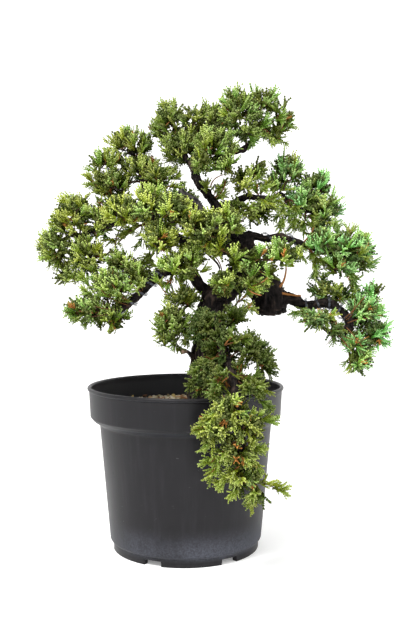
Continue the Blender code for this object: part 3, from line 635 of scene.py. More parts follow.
def build_grit():
    """Pale stones with flat bits of bark lying among them."""
    rng = np.random.default_rng(SEED + 2)
    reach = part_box("grit_top_dressing")[1].x - 0.003
    base, faces = ball(2)
    shapes = [lumpy(base, rng, 0.16) for _ in range(12)]

    def lying(flat, sunk, low, high):
        """Places on the domed grit, each raised by its own amount."""
        dome = GRIT_TOP - sunk - GRIT_DOME * (np.linalg.norm(flat, axis=1) / reach) ** 2
        return np.column_stack([flat, dome + rng.uniform(low, high, len(flat))])

    flat = disc_places(GRIT_COUNT, reach, rng)
    flat = flat[np.linalg.norm(flat, axis=1) < reach]
    flat = flat[np.linalg.norm(flat - TRUNK_FOOT, axis=1) > TRUNK_ROOM]
    count = len(flat)
    size = rng.uniform(0.0017, 0.0034, count)
    places = lying(flat, 0.0036, -0.0006, 0.0012)
    scales = size[:, None] * rng.uniform([0.8, 0.7, 0.55], [1.25, 1.05, 0.9], (count, 3))
    turns = random_turns(count, rng)
    material = tinted_material("grit", GRIT_COLOURS, 0.95, 700.0, 0.0005)
    piece = scatter_bits("grit_stones", shapes, faces, places, scales, turns, rng.random(count),
                         material)
    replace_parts(piece, "grit_top_dressing")

    count = CHIP_COUNT
    flat = disc_places(count, reach * 0.96, rng)
    size = rng.uniform(0.0030, 0.0080, count)
    places = lying(flat, 0.0010, 0, 0.0014)
    scales = size[:, None] * rng.uniform([0.9, 0.25, 0.10], [1.2, 0.5, 0.25], (count, 3))
    lean = rng.normal(size=count) * 0.25
    spin = rng.uniform(0, 6.3, count)
    turns = np.array([Matrix.Rotation(around, 3, "Z") @ Matrix.Rotation(tilt, 3, "Y")
                      for around, tilt in zip(spin, lean)])
    material = tinted_material("bark_bits", CHIP_COLOURS, 0.9, 500.0, 0.0004)
    scatter_bits("bark_chips", shapes, faces, places, scales, turns, rng.random(count), material)


# ---- wood

WOOD = sorted(n for n in NODES if n.startswith(("trunk", "branch", "twig")))
WIRES = sorted(n for n in NODES if n.startswith("wire"))
BARK_VOXEL, SNAG_VOXEL = 0.00125, 0.0008
TRUNK_RELIEF, BRANCH_RELIEF, SNAG_RELIEF = 0.0018, 0.0009, 0.0009


def joined_mesh(names):
    made = bmesh.new()
    for name in names:
        made.from_mesh(NODES[name].data)
    mesh = bpy.data.meshes.new("joined")
    made.to_mesh(mesh)
    made.free()
    return mesh


def remeshed(mesh, voxel):
    source = placed("source", mesh)
    remesh = source.modifiers.new("remesh", "REMESH")
    remesh.mode, remesh.voxel_size, remesh.adaptivity = "VOXEL", voxel, 0.0
    made = baked(source)
    bpy.data.objects.remove(source, do_unlink=True)
    return made


class Skin:
    """Per-vertex arrays of a mesh, with smoothing along its edges."""

    def __init__(self, mesh):
        self.points = points_of(mesh)
        self.normals = read(mesh.vertices, "normal").astype(float)
        self.ends = read(mesh.edges, "vertices", np.int32, 2)

    def smooth(self, values, rounds, weights=None):
        """Average with the neighbours, `rounds` times."""
        first, second = self.ends.T
        weights = np.ones(len(first)) if weights is None else weights
        total = np.bincount(first, weights, len(self.points)) + np.bincount(second, weights, len(self.points))
        flat = values.reshape(len(self.points), -1).astype(float)
        for _ in range(rounds):
            mixed = np.empty_like(flat)
            for column in range(flat.shape[1]):
                value = flat[:, column]
                gained = np.bincount(first, weights * value[second], len(self.points))
                gained += np.bincount(second, weights * value[first], len(self.points))
                mixed[:, column] = (gained + 0.4 * value) / (total + 0.4)
            flat = mixed
        return flat.reshape(values.shape)

    def grain_axis(self):
        """The direction along the limb at each vertex: the one its normals avoid."""
        spread = np.einsum("ni,nj->nij", self.normals, self.normals)
        spread = self.smooth(spread, 30)
        return np.linalg.eigh(spread)[1][:, :, 0]

    def noise(self, rng, rounds, weights=None):
        """Random values smoothed over the mesh, mostly from 0 to 1."""
        noise = self.smooth(rng.normal(size=len(self.points)), rounds, weights)
        return np.clip(0.5 + (noise - noise.mean()) / noise.std() / 4.5, 0, 1)

    def streaks(self, axis, rng, rounds):
        """Noise drawn out along the grain."""
        first, second = self.ends.T
        along = unit(self.points[second] - self.points[first])
        lined = np.abs((along * axis[first]).sum(1))
        return self.noise(rng, rounds, lined ** 6 + 0.015)


END_ROUGHNESS = 2.6
WIRE_PRESS = 1.1                # how far the bark sinks beside a wire, in reliefs
WIRE_REACH = 0.0028
# (place, reach) of the pruned stub, where the bark is off.
PALE_CUTS = [((-0.008, -0.018, 0.264), 0.011)]


def branch_relief(points):
    """The height of the bark's relief on whichever CAD wood lies nearest."""
    spots = [points_of(NODES[name].data) for name in WOOD]
    heights = [TRUNK_RELIEF if name == "trunk" else BRANCH_RELIEF for name in WOOD]
    owners = np.repeat(heights, [len(found) for found in spots])
    tree = tree_of(np.vstack(spots))
    return np.array([owners[tree.find(point)[1]] for point in points])


def beside_wires(points):
    """1 where a wire lies on the bark, falling to 0 a few millimetres away."""
    tree = tree_of(np.vstack([points_of(NODES[name].data) for name in WIRES]))
    gaps = np.array([tree.find(point)[2] for point in points])
    return np.clip(1.4 - gaps / WIRE_REACH, 0, 1)


def barked(name, nodes, voxel, relief, material, rng):
    """CAD wood with bark raised on it: fine streaks, small plates and broad swellings."""
    mesh = remeshed(joined_mesh(nodes), voxel)
    skin = Skin(mesh)
    rounded = skin.smooth(skin.points, 3)
    axis = skin.grain_axis()
    fine, plates, broad = skin.streaks(axis, rng, 12), skin.noise(rng, 7), skin.noise(rng, 70)
    ends = np.clip(np.abs((skin.normals * axis).sum(1)) * 2 - 1, 0, 1)
    height = (fine - 0.5) * 1.7 + (plates - 0.5) * 2.0 + (broad - 0.5) * 3.0
    height *= 1 + END_ROUGHNESS * skin.smooth(ends, 4)
    pressed = beside_wires(skin.points)
    height = height * (1 - pressed) - WIRE_PRESS * pressed
    moved = rounded + skin.normals * (height * relief(skin.points))[:, None]
    mesh.vertices.foreach_set("co", moved.astype(np.float32).ravel())
    pale = np.zeros(len(moved))
    for place, reach in PALE_CUTS:
        pale = np.maximum(pale, np.clip(2.2 - 2 * np.linalg.norm(moved - place, axis=1) / reach, 0, 1))
    ridge = np.clip(0.5 + 1.3 * (0.45 * fine + 0.35 * plates + 0.2 * broad - 0.5), 0, 1)
    carry(mesh, {"ridge": ridge, "pale": pale})
    mesh.update()
    mesh.shade_smooth()
    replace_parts(wrap(name, mesh, material), *nodes)


# Colours of the crevices, the ridges and the lichen, and the lichen's share.
BARK = ((0.002, 0.0016, 0.0016), (0.012, 0.009, 0.0085), (0.060, 0.040, 0.030), 0.20)
DEAD_WOOD = ((0.006, 0.005, 0.005), (0.038, 0.035, 0.034), (0.110, 0.100, 0.092), 0.25)


def build_wood():
    rng = np.random.default_rng(SEED + 3)
    bark, grey = bark_material("bark", *BARK), bark_material("dead_wood", *DEAD_WOOD)
    barked("bark_living", WOOD, BARK_VOXEL, branch_relief, bark, rng)
    barked("bark_snag", ["snag_left"], SNAG_VOXEL, lambda points: SNAG_RELIEF, grey, rng)


def build_wires():
    material = wire_material()
    for name in WIRES:
        piece = wrap(name + "_wound", NODES[name].data.copy(), material)
        rounded = piece.modifiers.new("rounded", "SUBSURF")
        rounded.levels = rounded.render_levels = 1
        piece.data.shade_smooth()
        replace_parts(piece, name)


# ---- foliage

NEEDLE_WIDTH = 0.00215
WHORL_SPACING = 0.00200
STEM_RADIUS = 0.00040


class Growth(Heap):
    """One shoot, grown along +Z from the origin; its values are its map."""

    def needle(self, root, heading, outward, length, low, high):
        """One awl-shaped leaf: a slim closed point with its keel on the outside."""
        side = unit(np.cross(heading, outward)) * NEEDLE_WIDTH / 2
        belly = root + heading * length * 0.50 - outward * NEEDLE_WIDTH * 0.35
        middle = low + (high - low) * 0.45
        self.add([root, belly + side, belly - side, root + heading * length],
                 [(0, 1, 2), (3, 2, 1), (0, 3, 1), (0, 2, 3)],
                 [(0.5, low), (0.1, middle), (0.9, middle), (0.5, high)])

    def stem(self, path, radius, low, high):
        points, places, faces = [], [], [(0, 2, 1)]
        for share, centre in zip(np.linspace(0, 1, len(path)), path):
            for corner in range(3):
                angle = corner * 2 * math.pi / 3
                width = radius * (1 - 0.6 * share)
                points.append(centre + width * np.array([math.cos(angle), math.sin(angle), 0]))
                places.append((0.15 + 0.3 * corner, low + (high - low) * share))
        for row in range(0, 3 * len(path) - 3, 3):
            for a, b in ((row, row + 1), (row + 1, row + 2), (row + 2, row)):
                faces += [(a, b, b + 3), (a, b + 3, a + 3)]
        last = len(points) - 3
        self.add(points, faces + [(last, last + 1, last + 2)], places)

    def finger(self, root, heading, length, needle, leaves, low, high, rng):
        """A stem clothed in whorls of needles that close over its tip."""
        heading = unit(heading)
        sag = np.cross(heading, unit(rng.normal(size=3))) * length * 0.10
        shares = np.linspace(0, 1, leaves)
        path = [root + heading * length * share + sag * share * share for share in shares]
        self.stem(path, STEM_RADIUS, low, (low + high) / 2)
        across = unit(np.cross(heading, (0.31, 0.2, 0.93)))
        other = np.cross(heading, across)
        whorls = max(2, round(length / WHORL_SPACING))
        for whorl in range(whorls + 1):
            share = whorl / whorls
            centre = root + heading * length * share + sag * share * share
            lean = math.radians(36 - 18 * share)
            size = needle * (1.0 - 0.20 * share) * rng.uniform(0.80, 1.20)
            at = low + (high - low) * share
            for leaf in range(leaves):
                angle = 2 * math.pi * (leaf / leaves + whorl / (2 * leaves)) + rng.normal() * 0.2
                outward = across * math.cos(angle) + other * math.sin(angle)
                pointing = unit(heading * math.cos(lean) + outward * math.sin(lean))
                # On the map each needle runs from a darker root, painted shade, to a paler tip, a painted
                # highlight.
                self.needle(centre + outward * STEM_RADIUS * 0.5, pointing, outward, size,
                            at * 0.60, min(1.0, at + 0.38))


# Each habit: length, number of side shoots and their length, their lean and the needles.
SPRIG_SIZES = {
    "plume": (0.0145, 5, 0.0092, 32, 0.0027),
    "finger": (0.0180, 2, 0.0090, 20, 0.0027),
    "rosette": (0.0085, 5, 0.0078, 40, 0.0027),
}


def grow_sprig(kind, rng):
    """One of three habits of shoot, from its foot at the origin up +Z."""
    made = Growth()
    up = np.array([0.0, 0.0, 1.0])
    length, sides, reach, lean, needle = SPRIG_SIZES[kind]
    length *= rng.uniform(0.9, 1.1)
    made.finger(np.zeros(3), up + rng.normal(size=3) * 0.05, length, needle, 4, 0.15, 0.80, rng)
    for index in range(sides):
        share = 0.12 + 0.62 * (index + rng.uniform(0.2, 0.8)) / sides
        angle = 2.4 * index + rng.normal() * 0.5
        tilt = math.radians(lean * rng.uniform(0.8, 1.2))
        outward = np.array([math.cos(angle), math.sin(angle), 0.0])
        heading = up * math.cos(tilt) + outward * math.sin(tilt)
        size = reach * (1.15 - 0.6 * share) * rng.uniform(0.85, 1.15)
        made.finger(up * length * share, heading, size, needle * 0.95, 3, 0.25 + 0.3 * share, 0.85, rng)
    return *made.joined(), length


def frames_along(directions, rolls):
    """Rotation matrices that take +Z to each direction, rolled about it."""
    z = unit(directions)
    helper = np.where(np.abs(z[:, 2:3]) > 0.9, [[1.0, 0.0, 0.0]], [[0.0, 0.0, 1.0]])
    x = unit(np.cross(helper, z))
    y = np.cross(z, x)
    cos, sin = np.cos(rolls)[:, None], np.sin(rolls)[:, None]
    return np.stack([x * cos + y * sin, y * cos - x * sin, z], 2)


HABITS = {"plume": 6, "finger": 4, "rosette": 4}
sprig_rng = np.random.default_rng(SEED + 4)
SPRIGS = {}
for habit, variants in HABITS.items():
    for variant in range(variants):
        SPRIGS[f"{habit}{variant}"] = grow_sprig(habit, sprig_rng)
MEAN_FACES = np.mean([len(SPRIGS[f"plume{index}"][1]) for index in range(HABITS["plume"])])


DEAD_SHARE = 0.03
DEAD_SCALE = 0.75


class Shoots:
    """Shoots waiting to be made into one piece."""

    def __init__(self):
        self.rows = []

    def add(self, *row):
        """Kind, root, heading, scale, tint, shade and bend of one shoot."""
        self.rows.append(row)

    def tuft(self, foot, heading, count, fan_width, slim, tint, spread, bend, rng, dead, light):
        """A fan of shoots from one foot that share a hue and a shade, more or less."""
        tuft_tint = tint + rng.normal() * spread * 0.7
        # A tuft's shade is the painted light or shade passed in as light, plus a tone of its own.
        tuft_shade = light + rng.integers(3, 6)
        for _ in range(count):
            fan = rng.normal(size=3) * fan_width
            pointing = unit(heading + fan - heading * (fan @ heading))
            kind = "finger" if rng.random() < slim else ("plume" if rng.random() < 0.7 else "rosette")
            stretch = {"rosette": 0.0045, "plume": 0.0, "finger": -0.001}[kind]
            own_tint = int(np.clip(round(tuft_tint + rng.normal() * 0.8), 0, TINTS - 2))
            own_shade = int(np.clip(tuft_shade + rng.integers(0, 2), 0, SHADES - 1))
            scale = rng.uniform(0.80, 1.15)
            if rng.random() < dead:
                own_tint = TINTS - 1
                scale *= DEAD_SCALE
            root = foot + pointing * (stretch + rng.uniform(-0.002, 0.003))
            own_bend = (bend + rng.normal(size=3) * 0.0012) * scale
            kind += str(rng.integers(0, HABITS[kind]))
            self.add(kind, root, pointing, scale, own_tint, own_shade, own_bend)

    def build(self, name, material, node_slot, rng):
        heap = Heap()
        for kind in sorted({row[0] for row in self.rows}):
            group = [row[1:] for row in self.rows if row[0] == kind]
            shape, sides, layout, length = SPRIGS[kind]
            roots, headings, scales, tints, shades, bends = (np.array(part) for part in zip(*group))
            turns = frames_along(headings, rng.uniform(0, 6.3, len(group)))
            grown = np.einsum("nij,kj->nki", turns, shape) * scales[:, None, None]
            share = (shape[:, 2] / length)[None, :, None]
            grown += roots[:, None] + bends[:, None] * np.sign(share) * share ** 2
            across = ((tints * SHADES + shades)[:, None] + layout[None, :, 0]) / (TINTS * SHADES)
            up = np.repeat(layout[None, :, 1], len(group), 0)
            offsets = np.arange(len(group)) * len(shape)
            heap.add(grown.reshape(-1, 3), (sides[None] + offsets[:, None, None]).reshape(-1, 3),
                     np.stack([across, up], 2).reshape(-1, 2))
        points, faces, layout = heap.joined()
        return make_piece(name, points, faces, material, uv=layout)


# What a pad's tufts are like, where they differ from the usual ones: mean tint (0 yellow-green
# to 6 blue-green), spread of tint, pull of the shoots (x, y, z), share of slim upright fingers,
# share of dead shoots, and shades lighter, which is painted light, and painted shade where it is negative.
Habit = namedtuple("Habit", "tint spread pull slim dead light",
                   defaults=(2.6, 1.8, (0.0, 0.0, 0.60), 0.30, DEAD_SHARE, 0))
PADS = {
    "cascade_front": Habit(1.4, 1.4, (0.15, -0.3, -0.2), 0.15, dead=0.07, light=1),
    # Painted shade: cascade_upper is painted five shades darker, as it hangs in shadow under the pads above.
    "cascade_upper": Habit(4.4, 1.4, (0, -0.3, 0.15), 0.15, light=-5),
    "centre": Habit(1.8, 1.7, (0, 0, 0.5), 0.25, dead=0.08, light=1),
    "centre_right": Habit(dead=0.1, light=2),
    "crown_left": Habit(2.2, 1.9, (-0.2, 0, 0.65), 0.4, light=-2),
    "crown_right": Habit(3.8, 1.9, (0.2, 0, 0.55), 0.35),
    "left_far": Habit(1.8, 1.7, (-0.35, 0, 0.4), 0.3, dead=0.05),
    "left_inner": Habit(1.8, 1.7, (0, 0, 0.55), 0.3, dead=0.06, light=2),
    "left_low": Habit(3.6, 1.6, (-0.35, 0, 0.4), 0.3, dead=0.08),
    "left_mid": Habit(1.2, 1.7, (0, 0, 0.55), 0.3, dead=0.1, light=2),
    "left_small": Habit(light=-1),
    "right_high": Habit(3.4, 1.7, (0.15, 0, 0.75), 0.5, light=1),
    "right_lower": Habit(4.4, 1.4, (0, 0, -0.2), 0.2, dead=0.18),
    "right_mid": Habit(4.0, 1.7, (0.3, 0, 0.45), 0.3, light=1),
    "right_outer": Habit(5.4, 1.0, (0.35, 0, 0.25), 0.25, dead=0.14, light=2),
    "right_spray": Habit(3.0, 1.6, (0.1, 0, 0.9), 0.75),
    "shoulder_left": Habit(2.6, 2.0, (-0.2, 0, 0.7), 0.45, dead=0.05, light=-1),
    "under_right": Habit(3.0, 1.6, (0.2, 0, -0.3), 0.2),
}
TUFT_SPACING = 0.0120
TUFT_DEPTH = 0.0130
TUFT_SHOOTS = 2.7
MOST_FACES = 190000          # in one piece
PAD_CLEARANCE = 0.0015       # no tuft this near another pad
WOOD_CLEARANCE = 0.0045
UNDERSIDE_SHARE = 0.55       # of the tufts that grow on a pad's underside
# Core shoots are painted in the darkest shade, a painted shade of the pad's inside.
CORE_DEPTH = 0.017           # dark shoots that fill the inside of a pad
CORE_SCALE = 1.75


def metres(value):
    """Millimetres as metres, through any nest of lists and tuples."""
    if isinstance(value, (list, tuple)):
        return [metres(part) for part in value]
    return value / 1000


# Places left open in the foliage, seen from the front: (x, z, reach) in millimetres.
WINDOWS = metres([
    (72, 500, 12), (62, 406, 8), (74, 398, 8), (85, 386, 7), (253, 340, 12), (264, 277, 10),
    (240, 243, 8), (80, 300, 12), (-78, 296, 8), (-104, 289, 8), (10, 592, 9), (100, 607, 10),
    (136, 585, 11), (144, 549, 8), (-122, 522, 10), (-41, 577, 10), (163, 493, 8), (93, 513, 10),
    (267, 294, 8), (168, 325, 9), (186, 323, 8), (198, 316, 9), (204, 306, 9), (181, 288, 10),
    (192, 356, 10), (51, 377, 11), (96, 102, 9), (0, 582, 9), (16, 582, 9), (80, 600, 8),
    (125, 592, 8), (-20, 590, 7), (-97, 554, 9), (-111, 532, 8), (-151, 332, 9), (-166, 453, 8),
    (-169, 355, 9), (62, 490, 9), (120, 368, 8), (168, 291, 10), (94, 108, 11), (112, 356, 8),
    (124, 353, 7),
])


def surface_of(names):
    """One searchable surface of several CAD nodes."""
    heap = Heap()
    for name in names:
        heap.add(points_of(NODES[name].data), triangles_of(NODES[name].data))
    points, faces, _ = heap.joined()
    return BVHTree.FromPolygons(points.tolist(), faces.tolist())


def free_spots(name, others, wood, rng):
    """Where tufts grow on a pad: its free surface, thinner underneath."""
    spots, normals = surface_spots(name, TUFT_SPACING, rng)
    kept = []
    for index, (spot, normal) in enumerate(zip(spots, normals)):
        if wood.find_nearest(spot)[3] < WOOD_CLEARANCE or others.find_nearest(spot)[3] < PAD_CLEARANCE:
            continue
        if normal[2] < -0.5 and rng.random() > UNDERSIDE_SHARE:
            continue
        if any(math.hypot(spot[0] - x, spot[2] - z) < reach for x, z, reach in WINDOWS):
            continue
        kept.append(index)
    return spots[kept], normals[kept]


def grow_pads(material, blue_material):
    """Tufts of shoots on every pad; returns the tufts' feet, for the twigs to reach."""
    wood = surface_of(WOOD + ["snag_left"])
    pads = sorted(name for name in NODES if name.startswith("foliage"))
    feet = []
    for number, name in enumerate(pads):
        rng = np.random.default_rng(SEED + 100 + number)
        habit = PADS.get(name.removeprefix("foliage_"), Habit())
        pull = np.array(habit.pull)
        spots, normals = free_spots(name, surface_of([pad for pad in pads if pad != name]), wood, rng)
        shoots = Shoots()
        each = min(TUFT_SHOOTS, MOST_FACES / MEAN_FACES / len(spots) - 1.2)
        waves = rng.normal(size=(3, 3)) * 120.0
        for spot, normal in zip(spots, normals):
            heading = unit(normal + pull + rng.normal(size=3) * 0.18)
            swell = np.sin(waves @ spot).sum() * 0.0018
            hue = habit.tint + 0.8 * np.sin(0.5 * waves @ spot + 1.0).sum()
            # Painted light: tufts that face up are painted a shade lighter and those that face down a shade
            # darker, over the pad's own painted light.
            sky = habit.light + round(1.3 * normal[2])
            foot = spot - heading * (TUFT_DEPTH - swell)
            feet.append(foot)
            count = int(each + rng.random())
            shoots.tuft(foot, heading, count, 0.36, habit.slim, hue, habit.spread, pull * 0.004, rng,
                        habit.dead, sky)
            # Painted shade: a dark shoot deep in the pad, painted in the darkest shade.
            inside = unit(heading + rng.normal(size=3) * 0.6)
            kind = "rosette" + str(rng.integers(0, HABITS["rosette"]))
            shoots.add(kind, spot - normal * CORE_DEPTH, inside, CORE_SCALE, int(rng.integers(1, 5)), 0,
                       np.zeros(3))
        blue = name.startswith("foliage_right")
        piece = shoots.build(name + "_shoots", blue_material if blue else material,
                             "foliage_blue" if blue else "foliage", rng)
        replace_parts(piece, name)
    return np.array(feet)


# Sprays between the pads: twigs from a foot on the wood to tips that carry shoots, as
# (foot, tips, tint, shoots at each step), with places in millimetres.
SPRAYS = [
    ((211, -4, 398), [(195, -10, 424), (219, -4, 418), (230, -12, 410)], 3.4, 1),
    ((205, -10, 385), [(219, -14, 346), (222, -20, 338)], 4.0, 2),
    ((138, 12, 462), [(126, 4, 430), (144, 6, 426), (138, 10, 440)], 2.8, 2),
    ((98, 0, 462), [(103, -6, 476), (124, -4, 456), (92, -6, 474)], 2.8, 1),
    ((157, 0, 402), [(150, -10, 388), (170, -8, 366), (176, -6, 378)], 2.8, 2),
    ((160, 10, 440), [(157, 4, 424), (172, 6, 430)], 2.8, 1),
    ((-48, 22, 434), [(-94, 10, 408), (-62, 12, 404), (-108, 8, 386)], 1.8, 1),
    ((-20, 30, 414), [(-8, 12, 396), (-48, 12, 384)], 2.2, 2),
    ((-10, -4, 366), [(-22, -14, 350), (-40, -10, 372)], 2.6, 1),
    ((-52, 22, 470), [(-24, 16, 494), (-34, 26, 478), (-10, 14, 490),
                      (-14, 14, 480), (-18, 14, 500)], 2.4, 1),
    ((34, 2, 460), [(25, -6, 476), (47, -4, 474), (48, -4, 462)], 1.8, 1),
    ((-90, 18, 440), [(-120, 14, 480), (-114, 18, 460), (-104, 12, 478), (-128, 14, 490)], 1.8, 1),
    ((-98, -20, 316), [(-134, -18, 356), (-130, -22, 340), (-122, -18, 368)], 2.8, 1),
    ((-105, -22, 312), [(-130, -18, 298), (-146, -20, 310)], 3.2, 1),
    ((4, -16, 306), [(-34, -20, 350), (-32, -32, 286), (-14, -26, 272)], 3.0, 1),
    ((12, -14, 300), [(0, -26, 276), (4, -26, 286)], 3.0, 1),
    ((60, -20, 316), [(80, -46, 336), (83, -46, 320)], 2.6, 1),
    ((170, -6, 322), [(150, -12, 312)], 3.6, 1),
    ((50, -78, 262), [(14, -100, 246), (10, -102, 232), (20, -104, 222), (32, -106, 222)], 3.4, 2),
    ((58, -112, 240), [(36, -142, 222), (40, -150, 236), (78, -150, 228),
                       (92, -146, 228), (96, -148, 210)], 2.8, 2),
    ((65, -150, 203), [(30, -156, 196), (18, -160, 184), (28, -158, 166), (98, -152, 192)], 2.0, 2),
    ((67, -152, 172), [(33, -158, 146), (34, -158, 134), (88, -152, 160), (86, -152, 140)], 1.6, 2),
    ((72, -152, 142), [(46, -156, 122), (60, -156, 110)], 1.0, 2),
    ((78, -150, 126), [(113, -152, 111), (82, -152, 97)], 0.6, 2),
    ((60, 6, 520), [(61, 4, 594), (55, 6, 588)], 1.6, 1),
    ((-12, 18, 550), [(-24, 24, 584), (-16, 26, 586)], 2.0, 1),
    ((214, -30, 312), [(238, -34, 330), (242, -36, 322)], 5.0, 1),
    ((214, -40, 288), [(214, -45, 264), (212, -45, 246)], 4.4, 1),
    ((105, 0, 552), [(112, -4, 538), (124, 0, 540), (84, 2, 540)], 3.4, 1),
    ((-48, 18, 428), [(-76, 10, 422), (-86, 10, 416)], 1.6, 1),
    ((-56, -14, 338), [(-72, -24, 350), (-58, -20, 352)], 2.6, 1),
    ((50, -96, 276), [(62, -104, 288), (74, -110, 286)], 2.6, 1),
]


def bowed(begin, end, arch, count):
    """A path between two places, pushed aside most at its middle."""
    shares = np.linspace(0, 1, count)[:, None]
    return begin + (end - begin) * shares + arch * 4 * shares * (1 - shares)


SPRAY_ROWS = 8


def grow_sprays(material):
    """Thin sprays that hang or stand between the pads; returns their twigs' paths."""
    rng = np.random.default_rng(SEED + 6)
    groups = {"cascade_sprays": Shoots(), "loose_sprays": Shoots()}
    paths = []
    for foot, tips, tint, full in SPRAYS:
        start = np.array(metres(foot))
        falling = start[1] < -0.07
        shoots = groups["cascade_sprays" if falling else "loose_sprays"]
        # Painted shade: the upper sprays of the cascade are painted three shades darker, as they hang in
        # shadow.
        light = -3 if falling and start[2] > 0.21 else 0
        looks = (tint, 1.2, np.zeros(3), rng, DEAD_SHARE, light)
        for tip in tips:
            end = np.array(metres(tip))
            length = np.linalg.norm(end - start)
            arch = rng.normal(size=3) * length * 0.06 + (0, 0, length * 0.08)
            path = bowed(start, end, arch, SPRAY_ROWS)
            paths.append(path)
            along = unit(end - start)
            for row in range(3, SPRAY_ROWS):
                side = unit(rng.normal(size=3) + (0, 0, 0.4))
                heading = unit(along * (0.6 + 0.15 * row) + side)
                shoots.tuft(path[row] - heading * 0.004, heading, full, 0.35, 0.25, *looks)
            shoots.tuft(end - along * 0.008, along, 1 + full, 0.30, 0.3, *looks)
    for name, shoots in groups.items():
        shoots.build(name, material, "foliage", rng)
    return paths


# ---- twigs

TWIG_SIDES = 5
TWIG_ROWS = 6
TWIG_COLOURS = [(0.0, (0.018, 0.012, 0.009)), (0.45, (0.060, 0.030, 0.015)), (0.75, (0.200, 0.085, 0.028)),
                (1.0, (0.400, 0.170, 0.050))]


def tube(path, thick, tip):
    """Points and quads of a tube along a path, from one radius to another."""
    tangents = unit(np.gradient(path, axis=0))
    helper = (0.0, 0.0, 1.0) if abs(tangents[0][2]) < 0.8 else (1.0, 0.0, 0.0)
    across = unit(np.cross(tangents, helper))
    other = np.cross(tangents, across)
    angles = (np.arange(TWIG_SIDES) * 2 * math.pi / TWIG_SIDES)[None, :, None]
    ring = across[:, None] * np.cos(angles) + other[:, None] * np.sin(angles)
    points = path[:, None] + ring * np.linspace(thick, tip, len(path))[:, None, None]
    faces = []
    for row in range(0, (len(path) - 1) * TWIG_SIDES, TWIG_SIDES):
        for side in range(TWIG_SIDES):
            a, b = row + side, row + (side + 1) % TWIG_SIDES
            faces.append((a, b, b + TWIG_SIDES, a + TWIG_SIDES))
    return points.reshape(-1, 3), faces


# Bare twigs: their points and their radii at foot and tip, in millimetres, and tint from
# dark to orange.
BARE_TWIGS = [
    ([(84, -40, 352), (92, -64, 350), (104, -68, 358)], 1, 0.6, 0.9),
    ([(80, -40, 346), (84, -66, 340), (96, -70, 336)], 1, 0.6, 0.95),
    ([(122, -6, 338), (138, -8, 335), (152, -8, 333.5)], 1.6, 1.2, 0.92),
    ([(22, -10, 396), (34, -14, 384), (44, -14, 372), (40, -14, 358)], 1.7, 1.2, 0.2),
    ([(24, -12, 398), (38, -18, 386), (47, -16, 370), (41, -16, 356)], 0.9, 0.8, 0.8),
    ([(33, 0, 476), (38, -6, 486), (50, -8, 492)], 1.1, 0.7, 0.9),
    ([(36, 0, 462), (48, -8, 470), (52, -8, 484)], 1, 0.6, 0.8),
    ([(-130, -2, 428), (-148, -10, 432), (-158, -14, 442)], 1.1, 0.6, 0.95),
    ([(-60, 20, 436), (-86, 14, 424), (-94, 12, 396)], 1.4, 0.8, 0.6),
    ([(-28, 4, 396), (-10, -2, 400), (8, -4, 402)], 1, 0.7, 0.95),
    ([(-75, -22, 322), (-92, -40, 330), (-106, -48, 342)], 0.7, 0.5, 0.68),
    ([(-85, -26, 316), (-100, -44, 318), (-116, -48, 322)], 0.7, 0.5, 0.58),
    ([(-70, -20, 326), (-82, -42, 336), (-92, -50, 350)], 0.7, 0.5, 0.73),
    ([(-90, -26, 312), (-104, -46, 310), (-122, -48, 308)], 0.6, 0.4, 0.48),
    ([(205, -40, 306), (214, -56, 318), (226, -60, 334)], 0.9, 0.5, 0.73),
    ([(206, -44, 304), (212, -58, 314), (214, -62, 332)], 0.7, 0.5, 0.63),
    ([(206, -48, 294), (214, -60, 284), (224, -62, 270)], 0.8, 0.5, 0.73),
    ([(196, -50, 288), (206, -62, 282), (222, -64, 280)], 0.7, 0.5, 0.63),
    ([(192, -50, 288), (200, -62, 278), (210, -64, 266)], 0.7, 0.4, 0.68),
    ([(188, -50, 292), (186, -60, 284), (178, -64, 274)], 0.6, 0.4, 0.53),
    ([(208, -44, 300), (222, -60, 306), (236, -62, 306)], 0.7, 0.5, 0.68),
    ([(122, 2, 416), (124, -2, 404), (122, -4, 392)], 1.2, 0.8, 0.6),
    ([(156, 2, 404), (168, 2, 420), (172, 4, 436)], 1.2, 0.7, 0.85),
    ([(122, -6, 344), (130, -10, 356), (132, -10, 378)], 2.1, 1, 0.95),
]


def curved(points):
    """A smooth path through a few points."""
    points = np.array(points)
    shares = np.linspace(0, 1, 12)
    order = min(3, len(points) - 1)
    at = np.linspace(0, 1, len(points))
    return np.stack([np.polyval(np.polyfit(at, points[:, axis], order), shares) for axis in range(3)], 1)


def shortest_tree(feet):
    """Joins every foot to the wood or to another foot, nearest first.

    Returns the feet's order, the place where each one's twig begins, and how many feet
    each twig carries.
    """
    tree = tree_of(np.vstack([points_of(NODES[name].data) for name in WOOD]))
    found = [tree.find(foot) for foot in feet]
    begins = np.array([place for place, _, _ in found], float)
    best = np.array([gap for _, _, gap in found])
    parent = np.full(len(feet), -1)
    reached = np.zeros(len(feet), bool)
    order = []
    for _ in feet:
        index = int(np.argmin(np.where(reached, np.inf, best)))
        reached[index] = True
        order.append(index)
        gap = np.linalg.norm(feet - feet[index], axis=1) + 0.35 * best[index]
        nearer = ~reached & (gap < best)
        best[nearer], begins[nearer], parent[nearer] = gap[nearer], feet[index], index
    load = np.ones(len(feet))
    for index in reversed(order):
        if parent[index] >= 0:
            load[parent[index]] += load[index]
    return order, begins, load


